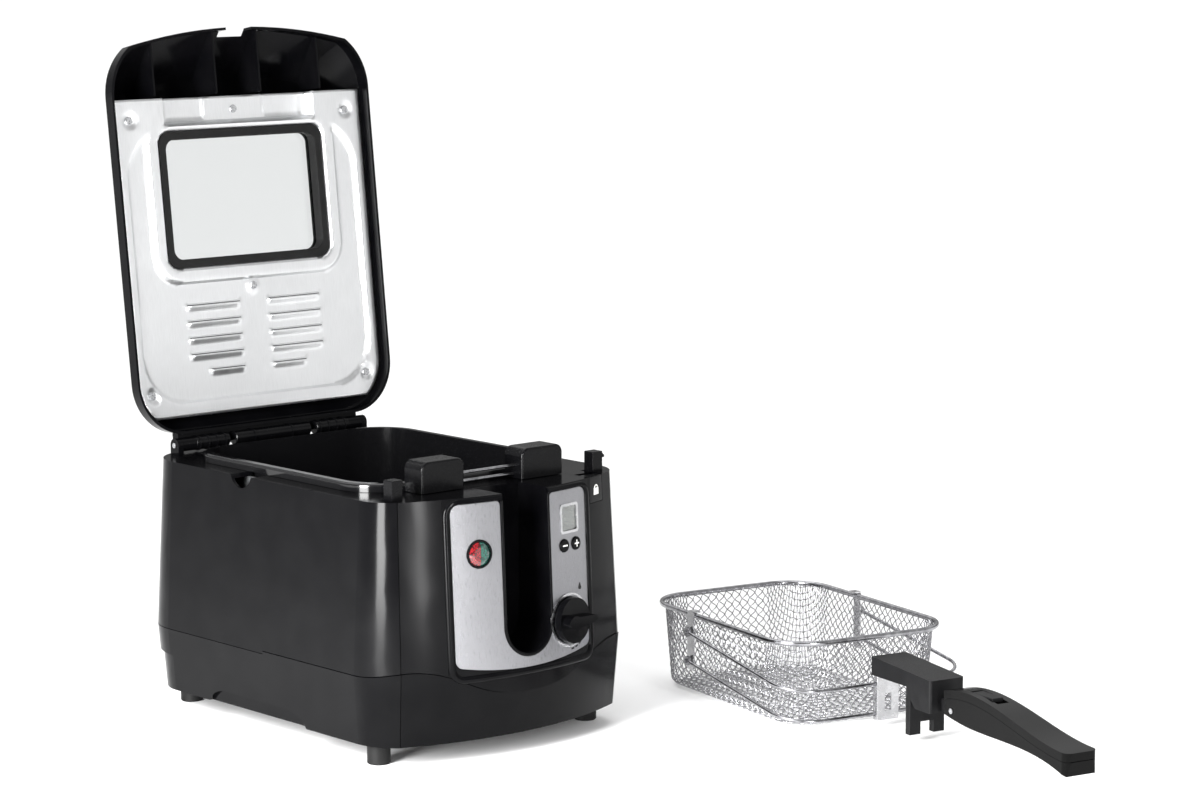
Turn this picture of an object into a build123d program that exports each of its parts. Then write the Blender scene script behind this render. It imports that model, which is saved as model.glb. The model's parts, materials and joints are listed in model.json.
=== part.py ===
"""Deep fryer with a hinged lid, a lift-out pan and a wire basket on a folding handle.

Millimetres, +Z up, front towards -Y. The origin is on the floor, midway under the body.
The lid stands open and the basket stands beside the fryer.
"""

import os
from math import atan, cos, degrees, radians, sin, sqrt, tan

from build123d import *

os.makedirs("parts", exist_ok=True)

# ------------------------------------------------------------------ dimensions
# Casing, measured at the height where the base meets the housing
body_width = 298.0
body_depth = 400.0
body_top_z = 238.0
split_z = 80.0
base_bottom_z = 20.0
side_flare = 8.0
base_tuck = 5.0
wall = 3.0
deck_thickness = 4.0
rear_corner_r = 53.0
front_seam_inset = 20.0
front_bow = 27.0
front_corner_depth = 67.0
seam_gap = 0.6
seam_dip = 22.0
seam_shoulder = 7.0
tongue_height = 8.0
base_floor_z = 30.0
base_floor = 3.0
base_recess = 3.0
arch_rise = 12.5
arch_front_y = -58.0
arch_rear_y = 94.0
arch_ramp = 28.0
sweep_z = 57.0
sweep_mid_y = 26.0
sweep_mid_z = 47.0
sweep_end_y = -45.0
notch_r = 16.0
notch_y = 40.0
groove_in = 2.0
groove_turn = 66.0
groove_width = 0.8
groove_depth = 0.9

# Feet
foot_r = 10.5
foot_front_x = 123.0
foot_front_y = -135.0
foot_rear_x = 104.0
foot_rear_y = 174.0
screw_r = 3.5
gland_x = -90.0
gland_z = 44.0
gland_r = 8.0
gland_bore = 3.6

# Front bezel, fascia and handle slot
bezel_half = 86.0
slot_half = 26.0
slot_depth = 39.0
slot_bottom_z = 92.0
fascia_half = 79.0
fascia_top_z = 232.0
fascia_bottom_z = 80.0
fascia_corner_r = 8.0
fascia_thickness = 1.2
fascia_slot_margin = 3.0
fit_gap = 0.3

# Controls on the fascia
knob_x = 50.0
knob_z = 114.0
knob_r = 21.5
knob_height = 7.0
knob_wing_height = 9.0
knob_wing_width = 10.0
knob_wing_overhang = 1.0
knob_travel_gap = 1.0
shaft_r = 3.0
running_gap = 0.05
button_r = 6.0
button_spacing = 16.6
button_z = 182.0
controls_x = 55.0
button_proud = 1.8
display_z = 206.0
display_w = 20.0
display_h = 22.0
indicator_x = -52.0
indicator_z = 187.0
indicator_r = 12.8
indicator_ring = 1.6
lens_dome = 4.5
board_depth = 14.0
board_thickness = 1.6
board_w = 40.0
board_h = 62.0
thermostat_size = 34.0
thermostat_depth = 17.0

# Lid latch
release_x = 99.0
release_w = 22.0
release_h = 24.0
release_travel = 4.0
release_body_depth = 12.0
latch_x = 118.0
latch_y = -152.0
latch_post = 12.0
latch_top_z = 256.0
latch_bar_z = 216.0
latch_bar_h = 9.0
latch_bar_t = 5.0
latch_bar_y = -143.5
tooth = 2.5
stem_size = 6.0

# Pan and heating
pan_y = 15.0
pan_rim_w = 242.0
pan_rim_d = 280.0
pan_rim_r = 45.0
pan_rim_h = 7.7
pan_side_inset = 15.0
pan_end_inset = 13.0
pan_bottom_r = 34.0
pan_bottom_z = 92.0
pan_wall = 1.0
pan_draft = 3.0
grip_inner_x = 34.0
grip_outer_x = 83.0
grip_depth = 24.0
grip_top_z = 266.0
grip_corner_r = 8.0
rest_wire_r = 1.5
rest_wire_zs = (242.6, 250.2)
tank_bottom_z = 76.0
tank_wall = 0.8
heater_tube_r = 3.5
heater_plate_t = 7.2

# Lid, in its own plane: along the lid from the hinge axis, and outward from the axis
hinge_y = 182.0
hinge_z = 246.0
lid_lean = 6.8
lid_rear = 10.0
lid_half_rear = 151.0
lid_half_front = 152.0
lid_side_end = 330.0
lid_front = 392.0
lid_shoulder_x = 128.0
lid_shoulder = 377.0
lid_corner_r = 50.0
lid_rim = -4.0
lid_break = 8.0
rim_taper = 3.0
crown_taper = 50.0
lid_top = 24.0
hood_top = 44.0
hood_start = 285.0
hood_crest = 345.0
lid_wall = 2.5
liner_h = 8.0
liner_t = 1.2
liner_front = 328.0
liner_rear = 25.0
window_w = 193.0
window_l = 130.0
window_mid = 231.0
window_r = 13.0
frame_band = 8.0
glass_t = 3.0
louvre_inner = 16.0
louvre_long = 64.0
louvre_short = 42.0
louvre_first = 128.0
louvre_pitch = 15.6
louvre_w = 5.0
louvre_count = 5
lid_screw_x = 128.0
lid_screw_r = 4.2
boss_r = 4.5
pad_depth = 9.0
pad_length = 26.0
hinge_pin_r = 2.5
barrel_r = 6.5
barrel_inner = 60.0
neck_half = 107.0
ear_t = 6.0
notch_half = 15.0
rib_w = 272.0
rib_l = 262.0
rib_r = 52.0
rib_band = 2.5
rib_h = 3.0

# Basket, in its own plane: u across, v towards the rear, height above the floor
basket_x = 336.5
basket_y = -201.8
basket_yaw = -12.0
basket_w = 190.0
basket_d = 260.0
basket_r = 45.0
basket_h = 84.0
basket_taper = 7.0
basket_wall = 1.2
rim_wire = 5.0
bracket_v = 38.0
bracket_t = 1.5
bracket_w = 11.0
pivot_upper_z = 66.0
pivot_lower_z = 38.0
rivet_r = 2.0
cradle_wire_r = 1.75
cradle_reach = 182.0
cradle_tilt = -8.0
cradle_gap = 5.0
cradle_eye_r = 4.6
cradle_eye_t = 2.8
cradle_bend_r = 35.0
channel_half = 12.0
channel_t = 1.6
handle_shift = 4.0
handle_half = 19.0
handle_length = 92.0
handle_top_z = 68.5
handle_droop = 5.5
bar_low_z = 51.0
nose_low_z = 33.0
leg_start = 55.0
leg_t = 7.0
leg_bottom_z = 7.0
leg_notch_w = 14.6
leg_notch_z = 18.5
fold_reach = 24.0
fold_z = 40.0
fold_pin_r = 2.5
lug_r = 6.0
lug_half = 6.0
grip_length = 172.0
grip_rear_half = 12.5
grip_tip_half = 17.5
grip_tip_r = 7.0
grip_tail = 12.0
grip_rear_z = 56.5
grip_crown_z = 61.0
grip_crown_at = 30.0
grip_waist_z = 54.5
grip_tip_z = 38.5
grip_tip_low = 18.0
grip_low_z = 30.5
grip_upper_t = 8.0
slider_start = 284.0
slider_length = 30.0
slider_half = 6.0
slider_room = 4.0
slider_travel = 6.0

# ------------------------------------------------------------------ helpers
body_taper = degrees(atan(side_flare / (body_top_z - split_z)))
base_taper = degrees(atan(base_tuck / (split_z - base_bottom_z)))
half_w = body_width / 2
half_d = body_depth / 2
seam_x = half_w - front_seam_inset
bow_r = (seam_x**2 + front_bow**2) / (2 * front_bow)
basket_side = cos(radians(basket_yaw)), sin(radians(basket_yaw)), 0
pan_bottom_w = pan_rim_w - 2 * pan_side_inset
pan_bottom_d = pan_rim_d - 2 * pan_end_inset
cradle_half = basket_w / 2 + cradle_gap


def inset_at(z):
    """How far the housing's outline has drawn in at this height."""
    return (z - split_z) * side_flare / (body_top_z - split_z)


def body_plan(z, inset=0.0):
    """The casing's outline: bowed front, round corners, straight sides."""
    with BuildSketch(Plane.XY.offset(z)) as plan:
        with BuildLine():
            TangentArc((0, -half_d), (seam_x, front_bow - half_d), tangent=(1, 0))
            corner = (half_w, front_corner_depth - half_d)
            TangentArc(corner, (seam_x, front_bow - half_d), tangent=(0, -1))
            Line(corner, (half_w, half_d - rear_corner_r))
            TangentArc((half_w, half_d - rear_corner_r), (half_w - rear_corner_r, half_d), tangent=(0, 1))
            Line((half_w - rear_corner_r, half_d), (0, half_d))
            mirror(about=Plane.YZ)
        make_face()
        if abs(inset) > 1e-6:
            offset(amount=-inset)
    return plan.sketch


def housing_plan(z, inset=0.0):
    """The housing's outline at a height, drawn in from its outer face."""
    return body_plan(z, inset + inset_at(z))


def base_plan(z, inset=0.0):
    """The base's outline at a height, drawn in from its outer face."""
    return body_plan(z, inset + (split_z - z) * base_tuck / (split_z - base_bottom_z))


def corner_grooves(plan_at, low, height, taper):
    """Two shallow upright grooves where the front panel meets the sides."""
    with BuildPart() as grooves:
        extrude(plan_at(low, -1), amount=height, taper=taper)
        extrude(plan_at(low, groove_depth), amount=height, taper=taper, mode=Mode.SUBTRACT)
        with BuildSketch():
            with Locations((seam_x - groove_in, front_bow + groove_in - half_d)):
                Rectangle(groove_width, 20 * groove_width, rotation=90 - groove_turn)
            mirror(about=Plane.YZ)
        extrude(amount=2 * body_top_z, mode=Mode.INTERSECT)
    return grooves.part


def seam_profile(lift, down):
    """Front view of what lies under (or over) the seam between base and housing."""
    edge = -1 if down else 1
    far_z = split_z + edge * body_top_z
    with BuildSketch(Plane.XZ) as face:
        with BuildLine():
            right = Spline(
                (0, split_z - seam_dip + lift),
                (bezel_half * 0.55, split_z - seam_dip * 0.72 + lift),
                (bezel_half * 1.12, split_z + seam_shoulder * 0.5 + lift),
                (seam_x - 4, split_z + seam_shoulder + lift),
                (half_w + 10, split_z + lift),
                tangents=[(1, 0), (1, -0.25)],
            )
            Polyline(right @ 1, (half_w + 10, far_z), (0, far_z))
            mirror(about=Plane.YZ)
        make_face()
    return face.sketch


def rounded_plan(z, width, depth, radius, y=0.0):
    """A rounded rectangle lying level."""
    with BuildSketch(Plane.XY.offset(z)) as plan:
        with Locations((0, y)):
            RectangleRounded(width, depth, radius)
    return plan.sketch


def front_y(x, z):
    """Where the bowed front face stands at this place."""
    radius = bow_r - inset_at(z)
    return bow_r - half_d - sqrt(radius**2 - x**2)


def front_plane(x, z, proud=0.0):
    """A plane on the front face, looking out of it."""
    radius = bow_r - inset_at(z)
    out = Vector(x / radius, -sqrt(1 - (x / radius) ** 2), tan(radians(body_taper))).normalized()
    at = Vector(x, front_y(x, z), z) + out * proud
    return Plane(origin=at, x_dir=(-out.Y, out.X, 0), z_dir=out)


def lid_plane(h=0.0):
    """A plane of the lid: y along the lid from the hinge, z out of its top."""
    lean = radians(lid_lean)
    out = Vector(0, cos(lean), -sin(lean))
    return Plane(origin=Vector(0, hinge_y, hinge_z) + out * h, x_dir=(-1, 0, 0), z_dir=out)


def lid_side_plane():
    """The lid's side view: x along the lid, y out of its top."""
    lean = radians(lid_lean)
    return Plane(origin=(0, hinge_y, hinge_z), x_dir=(0, sin(lean), cos(lean)), z_dir=(-1, 0, 0))


def basket_plane(h=0.0):
    """A level plane of the basket, turned as it stands."""
    return Plane(origin=(basket_x, basket_y, h), x_dir=basket_side, z_dir=(0, 0, 1))


def basket_side_plane(u=0.0):
    """The basket's side view: x towards the front, y up."""
    forward = sin(radians(basket_yaw)), -cos(radians(basket_yaw)), 0
    at = Vector(basket_x, basket_y, 0) + Vector(*basket_side) * u
    return Plane(origin=at, x_dir=forward, z_dir=tuple(-a for a in basket_side))


def save(part, label):
    """Name a finished piece and write it."""
    part.label = label
    export_step(part, f"parts/{label}.step")


# ------------------------------------------------------------------ casing
cavity_top = body_top_z - deck_thickness
seam_low = split_z - seam_dip - 2
bezel_back_y = slot_depth + wall - half_d + inset_at(body_top_z)
slot_back_y = bezel_back_y - wall

with BuildPart() as housing:
    extrude(housing_plan(seam_low), amount=body_top_z - seam_low, taper=body_taper)
    extrude(
        housing_plan(seam_low, wall),
        amount=cavity_top - seam_low,
        taper=body_taper,
        mode=Mode.SUBTRACT,
    )
    # Everything under the seam belongs to the base.
    extrude(seam_profile(seam_gap, True), amount=half_d + wall, mode=Mode.SUBTRACT)
    with BuildSketch(Plane.XZ):
        with Locations((0, split_z + seam_gap)):
            Rectangle(body_width + 20, body_width, align=(Align.CENTER, Align.MAX))
    extrude(amount=-half_d - wall, mode=Mode.SUBTRACT)
    # Deck opening for the pan
    extrude(
        rounded_plan(cavity_top - 1, pan_rim_w - 8, pan_rim_d - 8, pan_rim_r - 4, pan_y),
        amount=deck_thickness + 2,
        mode=Mode.SUBTRACT,
    )
    # Front opening for the bezel
    with BuildSketch(Plane.XY.offset(seam_low - 5)):
        with Locations((0, bezel_back_y + fit_gap)):
            Rectangle(2 * (bezel_half + fit_gap), half_d, align=(Align.CENTER, Align.MAX))
    extrude(amount=body_top_z, mode=Mode.SUBTRACT)
    # Notch for the release button, open at the top
    with BuildSketch(Plane.XY.offset(body_top_z - release_h - fit_gap)):
        release_back_y = front_y(release_x, body_top_z) + release_body_depth + release_travel + 1
        with Locations((release_x, release_back_y)):
            Rectangle(release_w + 2 * fit_gap, 60, align=(Align.CENTER, Align.MAX))
    extrude(amount=release_h + 5, mode=Mode.SUBTRACT)
    # Slots for the two latch hooks
    with BuildSketch(Plane.XY.offset(cavity_top - 1)):
        with Locations((latch_x - release_travel / 2, latch_y), (-latch_x - release_travel / 2, latch_y)):
            Rectangle(latch_post + release_travel + 1, latch_post + 1)
    extrude(amount=deck_thickness + 2, mode=Mode.SUBTRACT)
    # Half-round finger notches in both side walls
    with BuildSketch(Plane.YZ):
        with Locations((notch_y, body_top_z + notch_r * 0.3)):
            Circle(notch_r)
    extrude(amount=half_w, both=True, mode=Mode.SUBTRACT)
    # Ears for the hinge pins
    with BuildSketch(Plane.YZ.offset(neck_half + fit_gap)):
        with Locations((hinge_y, hinge_z)):
            Circle(barrel_r)
        with Locations((hinge_y, cavity_top + 1)):
            Rectangle(2 * barrel_r, hinge_z - cavity_top - 1, align=(Align.CENTER, Align.MIN))
        with Locations((hinge_y, hinge_z)):
            Circle(hinge_pin_r + running_gap, mode=Mode.SUBTRACT)
    ears = extrude(amount=ear_t)
    mirror(ears, about=Plane.YZ)
    add(corner_grooves(housing_plan, seam_low, body_top_z - seam_low, body_taper), mode=Mode.SUBTRACT)
save(housing.part, "housing")


def slot_profile(back, grow, top):
    """Front view of the handle slot, round at the bottom, on a plane at its back."""
    reach = slot_half + grow
    low = slot_bottom_z + slot_half
    with BuildSketch(Plane.XZ.offset(-back)) as face:
        with BuildLine():
            ThreePointArc((-reach, low), (0, low - reach), (reach, low))
            Polyline((reach, low), (reach, top), (-reach, top), (-reach, low))
        make_face()
    return face.sketch


with BuildPart() as slot_walls:
    extrude(slot_profile(bezel_back_y, wall, body_top_z), amount=half_d + bezel_back_y)
    extrude(
        housing_plan(seam_low, wall / 2),
        amount=body_top_z - seam_low,
        taper=body_taper,
        mode=Mode.INTERSECT,
    )

with BuildPart() as bezel:
    extrude(housing_plan(seam_low), amount=body_top_z - seam_low, taper=body_taper)
    extrude(
        housing_plan(seam_low, wall),
        amount=cavity_top - seam_low,
        taper=body_taper,
        mode=Mode.SUBTRACT,
    )
    with BuildSketch(Plane.XY.offset(seam_low - 5)):
        with Locations((0, bezel_back_y)):
            Rectangle(2 * bezel_half, half_d, align=(Align.CENTER, Align.MAX))
    extrude(amount=body_top_z, mode=Mode.INTERSECT)
    add(slot_walls.part)
    extrude(slot_profile(slot_back_y, 0, body_top_z + 5), amount=half_d, mode=Mode.SUBTRACT)
    extrude(seam_profile(seam_gap, True), amount=half_d + wall, mode=Mode.SUBTRACT)
    # Holes for the controls
    with BuildSketch(front_plane(knob_x, knob_z, 5)):
        Circle(shaft_r + 0.5)
    extrude(amount=-3 * wall - 5, mode=Mode.SUBTRACT)
    for x in (controls_x - button_spacing / 2, controls_x + button_spacing / 2):
        with BuildSketch(front_plane(x, button_z, 5)):
            Circle(button_r + fit_gap)
        extrude(amount=-3 * wall - 5, mode=Mode.SUBTRACT)
    with BuildSketch(front_plane(controls_x, display_z, 5)):
        Rectangle(display_w + 2 * fit_gap, display_h + 2 * fit_gap)
    extrude(amount=-3 * wall - 5, mode=Mode.SUBTRACT)
    with BuildSketch(front_plane(indicator_x, indicator_z, 5)):
        Circle(indicator_r + fit_gap)
    extrude(amount=-3 * wall - 5, mode=Mode.SUBTRACT)

with BuildPart() as fascia_block:
    extrude(housing_plan(seam_low, -2), amount=body_top_z - seam_low, taper=body_taper)
    extrude(
        housing_plan(seam_low, fascia_thickness - 0.2),
        amount=body_top_z - seam_low,
        taper=body_taper,
        mode=Mode.SUBTRACT,
    )


def fascia_profile(grow):
    """The U-shaped plate: round outer corners, a sagging lower edge, open round the slot."""
    reach = fascia_half + grow
    side_low = fascia_bottom_z + fascia_corner_r
    with BuildSketch(Plane.XZ) as face:
        with BuildLine():
            ThreePointArc(
                (-reach, side_low),
                (0, fascia_bottom_z - grow),
                (reach, side_low),
            )
            Polyline(
                (reach, side_low),
                (reach, fascia_top_z + grow),
                (-reach, fascia_top_z + grow),
                (-reach, side_low),
            )
        make_face()
        fillet(face.vertices(), fascia_corner_r)
        inner = slot_half + fascia_slot_margin - grow
        with Locations((0, slot_bottom_z + slot_half)):
            Circle(inner, mode=Mode.SUBTRACT)
            Rectangle(2 * inner, body_top_z, align=(Align.CENTER, Align.MIN), mode=Mode.SUBTRACT)
        top_corners = face.vertices().group_by(Axis.Y)[-1].filter_by(lambda v: abs(v.X) < inner + 1)
        fillet(top_corners, fascia_corner_r / 2)
    return face.sketch


with BuildPart() as fascia_seat:
    add(fascia_block.part)
    extrude(fascia_profile(0.15), amount=half_d + 10, mode=Mode.INTERSECT)

with BuildPart() as seated_bezel:
    add(bezel.part)
    add(fascia_seat.part, mode=Mode.SUBTRACT)
save(seated_bezel.part, "front_bezel")

with BuildPart() as fascia:
    extrude(housing_plan(seam_low, -0.2), amount=body_top_z - seam_low, taper=body_taper)
    extrude(
        housing_plan(seam_low, fascia_thickness - 0.2),
        amount=body_top_z - seam_low,
        taper=body_taper,
        mode=Mode.SUBTRACT,
    )
    extrude(fascia_profile(0), amount=half_d + 10, mode=Mode.INTERSECT)
    with BuildSketch(front_plane(knob_x, knob_z, 5)):
        Circle(shaft_r + 0.5)
    extrude(amount=-3 * wall - 5, mode=Mode.SUBTRACT)
    for x in (controls_x - button_spacing / 2, controls_x + button_spacing / 2):
        with BuildSketch(front_plane(x, button_z, 5)):
            Circle(button_r + fit_gap)
        extrude(amount=-3 * wall - 5, mode=Mode.SUBTRACT)
    with BuildSketch(front_plane(controls_x, display_z, 5)):
        Rectangle(display_w + 2 * fit_gap, display_h + 2 * fit_gap)
    extrude(amount=-3 * wall - 5, mode=Mode.SUBTRACT)
    with BuildSketch(front_plane(indicator_x, indicator_z, 5)):
        Circle(indicator_r + fit_gap)
    extrude(amount=-3 * wall - 5, mode=Mode.SUBTRACT)
save(fascia.part, "control_fascia")

# ------------------------------------------------------------------ base and feet
base_inner = wall + base_recess + 0.5

# A tongue that locates the housing, left off the front where the seam dips
with BuildPart() as tongue:
    extrude(base_plan(split_z - tongue_height, base_inner - 2), amount=2 * tongue_height)
    extrude(base_plan(split_z - tongue_height, base_inner), amount=2 * tongue_height, mode=Mode.SUBTRACT)
    with BuildSketch():
        with Locations((0, foot_front_y + 10)):
            Rectangle(body_width, half_d, align=(Align.CENTER, Align.MAX))
    extrude(amount=body_top_z, mode=Mode.SUBTRACT)

with BuildPart() as base:
    seam_high = split_z + seam_shoulder + 4
    extrude(base_plan(base_bottom_z), amount=seam_high - base_bottom_z, taper=-base_taper)
    # The lower rear of the sides is set back below a sweeping line.
    with BuildSketch(Plane.YZ.offset(-half_w - 10)):
        with BuildLine():
            sweep_line = Spline(
                (half_d + 10, sweep_z),
                (sweep_mid_y, sweep_mid_z),
                (sweep_end_y, base_bottom_z - 1),
                tangents=[(-1, 0), (-0.3, -1)],
            )
            Polyline(sweep_line @ 0, (half_d + 10, base_bottom_z - 1), sweep_line @ 1)
        make_face()
    below = extrude(amount=body_width + 20, mode=Mode.PRIVATE)
    recess = below - extrude(
        base_plan(base_bottom_z - 2, base_recess), amount=split_z, taper=-base_taper, mode=Mode.PRIVATE
    )
    add(recess, mode=Mode.SUBTRACT)
    extrude(
        base_plan(base_floor_z + base_floor, base_inner),
        amount=split_z,
        taper=-base_taper,
        mode=Mode.SUBTRACT,
    )
    # Open underside, with an arch between the feet on both sides
    extrude(
        base_plan(base_bottom_z - 1, base_inner),
        amount=base_floor_z - base_bottom_z + 1,
        mode=Mode.SUBTRACT,
    )
    with BuildSketch(Plane.YZ.offset(half_w - base_tuck - base_inner)):
        with BuildLine():
            Spline(
                (arch_front_y, base_bottom_z - 1),
                (arch_front_y + arch_ramp, base_bottom_z + arch_rise),
                tangents=[(0.6, 1), (1, 0)],
            )
            Line(
                (arch_front_y + arch_ramp, base_bottom_z + arch_rise),
                (arch_rear_y - arch_ramp, base_bottom_z + arch_rise),
            )
            Spline(
                (arch_rear_y - arch_ramp, base_bottom_z + arch_rise),
                (arch_rear_y, base_bottom_z - 1),
                tangents=[(1, 0), (0.6, -1)],
            )
            Line((arch_rear_y, base_bottom_z - 1), (arch_front_y, base_bottom_z - 1))
        make_face()
    side_arch = extrude(amount=base_inner + 2 * base_tuck, mode=Mode.PRIVATE)
    add(side_arch, mode=Mode.SUBTRACT)
    add(mirror(side_arch, about=Plane.YZ, mode=Mode.PRIVATE), mode=Mode.SUBTRACT)
    extrude(seam_profile(0, False), amount=half_d + 10, mode=Mode.SUBTRACT)
    with BuildSketch(Plane.XZ):
        with Locations((0, split_z)):
            Rectangle(body_width + 20, body_width, align=(Align.CENTER, Align.MIN))
    extrude(amount=-half_d - 10, mode=Mode.SUBTRACT)
    add(tongue.part)
    # Sockets for the feet and a hole for the cord gland
    for x, y in ((foot_front_x, foot_front_y), (foot_rear_x, foot_rear_y)):
        with BuildSketch(Plane.XY.offset(base_bottom_z)):
            with Locations((-x, y), (x, y)):
                Circle(foot_r + wall)
        extrude(amount=base_floor_z - base_bottom_z + base_floor)
    with BuildSketch(Plane.XZ):
        with Locations((gland_x, gland_z)):
            Circle(gland_r + fit_gap)
    extrude(amount=-half_d - 10, mode=Mode.SUBTRACT)
    add(corner_grooves(base_plan, base_bottom_z, seam_high - base_bottom_z, -base_taper), mode=Mode.SUBTRACT)
save(base.part, "base")

for side, turn in (("left", -1), ("right", 1)):
    for end, x, y in (("front", foot_front_x, foot_front_y), ("rear", foot_rear_x, foot_rear_y)):
        with BuildPart() as foot:
            with BuildSketch():
                with Locations((turn * x, y)):
                    Circle(foot_r)
            extrude(amount=base_bottom_z)
            chamfer(foot.edges().filter_by(GeomType.CIRCLE).group_by(Axis.Z)[0], 1)
        save(foot.part, f"foot_{end}_{side}")

with BuildPart() as base_screws:
    with BuildSketch(Plane.XY.offset(base_floor_z - 2)):
        with GridLocations(half_w, half_d, 2, 2):
            Circle(screw_r)
            RegularPolygon(screw_r * 0.4, 6, mode=Mode.SUBTRACT)
    extrude(amount=2)
save(base_screws.part, "base_screws")

# ------------------------------------------------------------------ controls
indicator_face = front_plane(indicator_x, indicator_z)

with BuildPart() as indicator_bezel:
    with BuildSketch(indicator_face.offset(-2 * wall)):
        Circle(indicator_r)
        Circle(indicator_r - indicator_ring, mode=Mode.SUBTRACT)
    extrude(amount=2 * wall + 1.0)
save(indicator_bezel.part, "indicator_ring")

lens_r = indicator_r - indicator_ring - 0.15
dome_r = (lens_r**2 + lens_dome**2) / (2 * lens_dome)

for label, turn in (("lens_red", -1), ("lens_green", 1)):
    with BuildPart() as lens:
        with BuildSketch(indicator_face.offset(-wall)):
            Circle(lens_r)
        extrude(amount=2 * wall)
        dome_at = indicator_face.offset(lens_dome - dome_r).origin
        dome = Pos(dome_at) * Sphere(dome_r)
        add(dome, mode=Mode.INTERSECT)
        with BuildSketch(indicator_face.offset(-2 * wall)):
            with Locations((turn * (lens_r + 0.1), 0)):
                Rectangle(2 * lens_r, 4 * lens_r)
        extrude(amount=5 * wall, mode=Mode.INTERSECT)
    save(lens.part, label)

with BuildPart() as indicator_lamp:
    with BuildSketch(indicator_face.offset(-wall - 0.2)):
        Circle(lens_r - 0.5)
    extrude(amount=-9)
    with BuildSketch(indicator_face.offset(-2 * wall - 0.2)):
        Circle(indicator_r + 2)
    extrude(amount=-5)
save(indicator_lamp.part, "indicator_lamp")

for label, x in (("button_minus", -1), ("button_plus", 1)):
    at = front_plane(controls_x + x * button_spacing / 2, button_z)
    with BuildPart() as button:
        with BuildSketch(at.offset(-wall - 2)):
            Circle(button_r)
        extrude(amount=wall + 2 + button_proud)
        fillet(button.edges().filter_by(GeomType.CIRCLE).sort_by(Axis.Y)[0], 1)
        with BuildSketch(at.offset(button_proud - 0.4)):
            Rectangle(button_r * 1.1, 1.4)
            if x > 0:
                Rectangle(1.4, button_r * 1.1)
        extrude(amount=2, mode=Mode.SUBTRACT)
        with BuildSketch(at.offset(-wall - 2)):
            Circle(1.5)
        extrude(amount=-(board_depth - wall - 2 - 3.8))
    save(button.part, label)

with BuildPart() as display_window:
    with BuildSketch(front_plane(controls_x, display_z, -1.8)):
        RectangleRounded(display_w, display_h, 1.5)
    extrude(amount=1.5)
save(display_window.part, "display_window")

with BuildPart() as display_module:
    with BuildSketch(front_plane(controls_x, display_z, -2)):
        Rectangle(display_w - 0.4, display_h - 0.4)
    extrude(amount=-(wall + 2))
    with BuildSketch(front_plane(controls_x, display_z, -wall - 2.5)):
        Rectangle(display_w + 6, display_h + 4)
    extrude(amount=-(board_depth - wall - 2.8))
save(display_module.part, "display_module")

board_mid_z = (button_z + display_z) / 2 - 2
with BuildPart() as control_board:
    board_at = front_plane(controls_x, board_mid_z, -board_depth)
    with BuildSketch(board_at):
        Rectangle(board_w, board_h)
    extrude(amount=-board_thickness)
    for x in (-1, 1):
        at = front_plane(controls_x + x * button_spacing / 2, button_z, -board_depth - 0.5)
        with BuildSketch(at):
            Rectangle(6, 6)
        extrude(amount=3)
save(control_board.part, "control_board")

knob_face = front_plane(knob_x, knob_z, knob_travel_gap)
with BuildPart() as knob:
    with BuildSketch(knob_face):
        Circle(knob_r)
    extrude(amount=knob_height, taper=6)
    with BuildSketch(knob_face.offset(knob_height - 0.5)):
        with BuildLine():
            reach = knob_r + knob_wing_overhang
            slim = knob_wing_width / 2
            TangentArc((-knob_r * 0.9, 0), (-knob_r * 0.2, -slim), tangent=(0.4, -1))
            Line((-knob_r * 0.2, -slim), (reach * 0.8, -slim * 0.8))
            TangentArc((reach * 0.8, -slim * 0.8), (reach, 0), tangent=(1, 0.1))
            mirror(about=Plane.XZ)
        make_face()
    extrude(amount=knob_wing_height, taper=4)
    with BuildSketch(knob_face.offset(-0.1)):
        Circle(shaft_r)
    extrude(amount=knob_height * 0.8, mode=Mode.SUBTRACT)
save(knob.part, "temperature_knob")

with BuildPart() as knob_shaft:
    with BuildSketch(knob_face.offset(knob_height * 0.8 - 0.2)):
        Circle(shaft_r)
    extrude(amount=-(knob_height * 0.8 + knob_travel_gap + wall + thermostat_depth * 0.6))
save(knob_shaft.part, "knob_shaft")

with BuildPart() as thermostat:
    with BuildSketch(front_plane(knob_x, knob_z, -wall - 0.8)):
        RectangleRounded(thermostat_size, thermostat_size, 3)
        Circle(shaft_r + running_gap, mode=Mode.SUBTRACT)
    extrude(amount=-thermostat_depth * 0.75)
    with BuildSketch(front_plane(knob_x, knob_z, -wall - 0.8 - thermostat_depth * 0.75)):
        RectangleRounded(thermostat_size, thermostat_size, 3)
    extrude(amount=-thermostat_depth * 0.25)
save(thermostat.part, "thermostat")

# ------------------------------------------------------------------ lid latch
release_low = body_top_z - release_h
release_front = front_y(release_x, body_top_z)
stem_end_y = latch_y + 1
with BuildPart() as release_button:
    extrude(housing_plan(release_low), amount=release_h - 0.5, taper=body_taper)
    with BuildSketch(Plane.XY.offset(release_low)):
        with Locations((release_x, release_front + release_body_depth)):
            Rectangle(release_w, 60, align=(Align.CENTER, Align.MAX))
    extrude(amount=release_h - 0.5, mode=Mode.INTERSECT)
    # The stem ends in a wedge that pushes the latch bar sideways.
    with BuildSketch(Plane.XY.offset(latch_bar_z + 1)):
        with BuildLine():
            left = release_x - stem_size / 2
            right = release_x + stem_size / 2
            Polyline(
                (left, release_front + release_body_depth - 1),
                (right, release_front + release_body_depth - 1),
                (right, stem_end_y),
                (left, stem_end_y - stem_size),
                close=True,
            )
        make_face()
    extrude(amount=stem_size)
save(release_button.part, "release_button")

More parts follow.
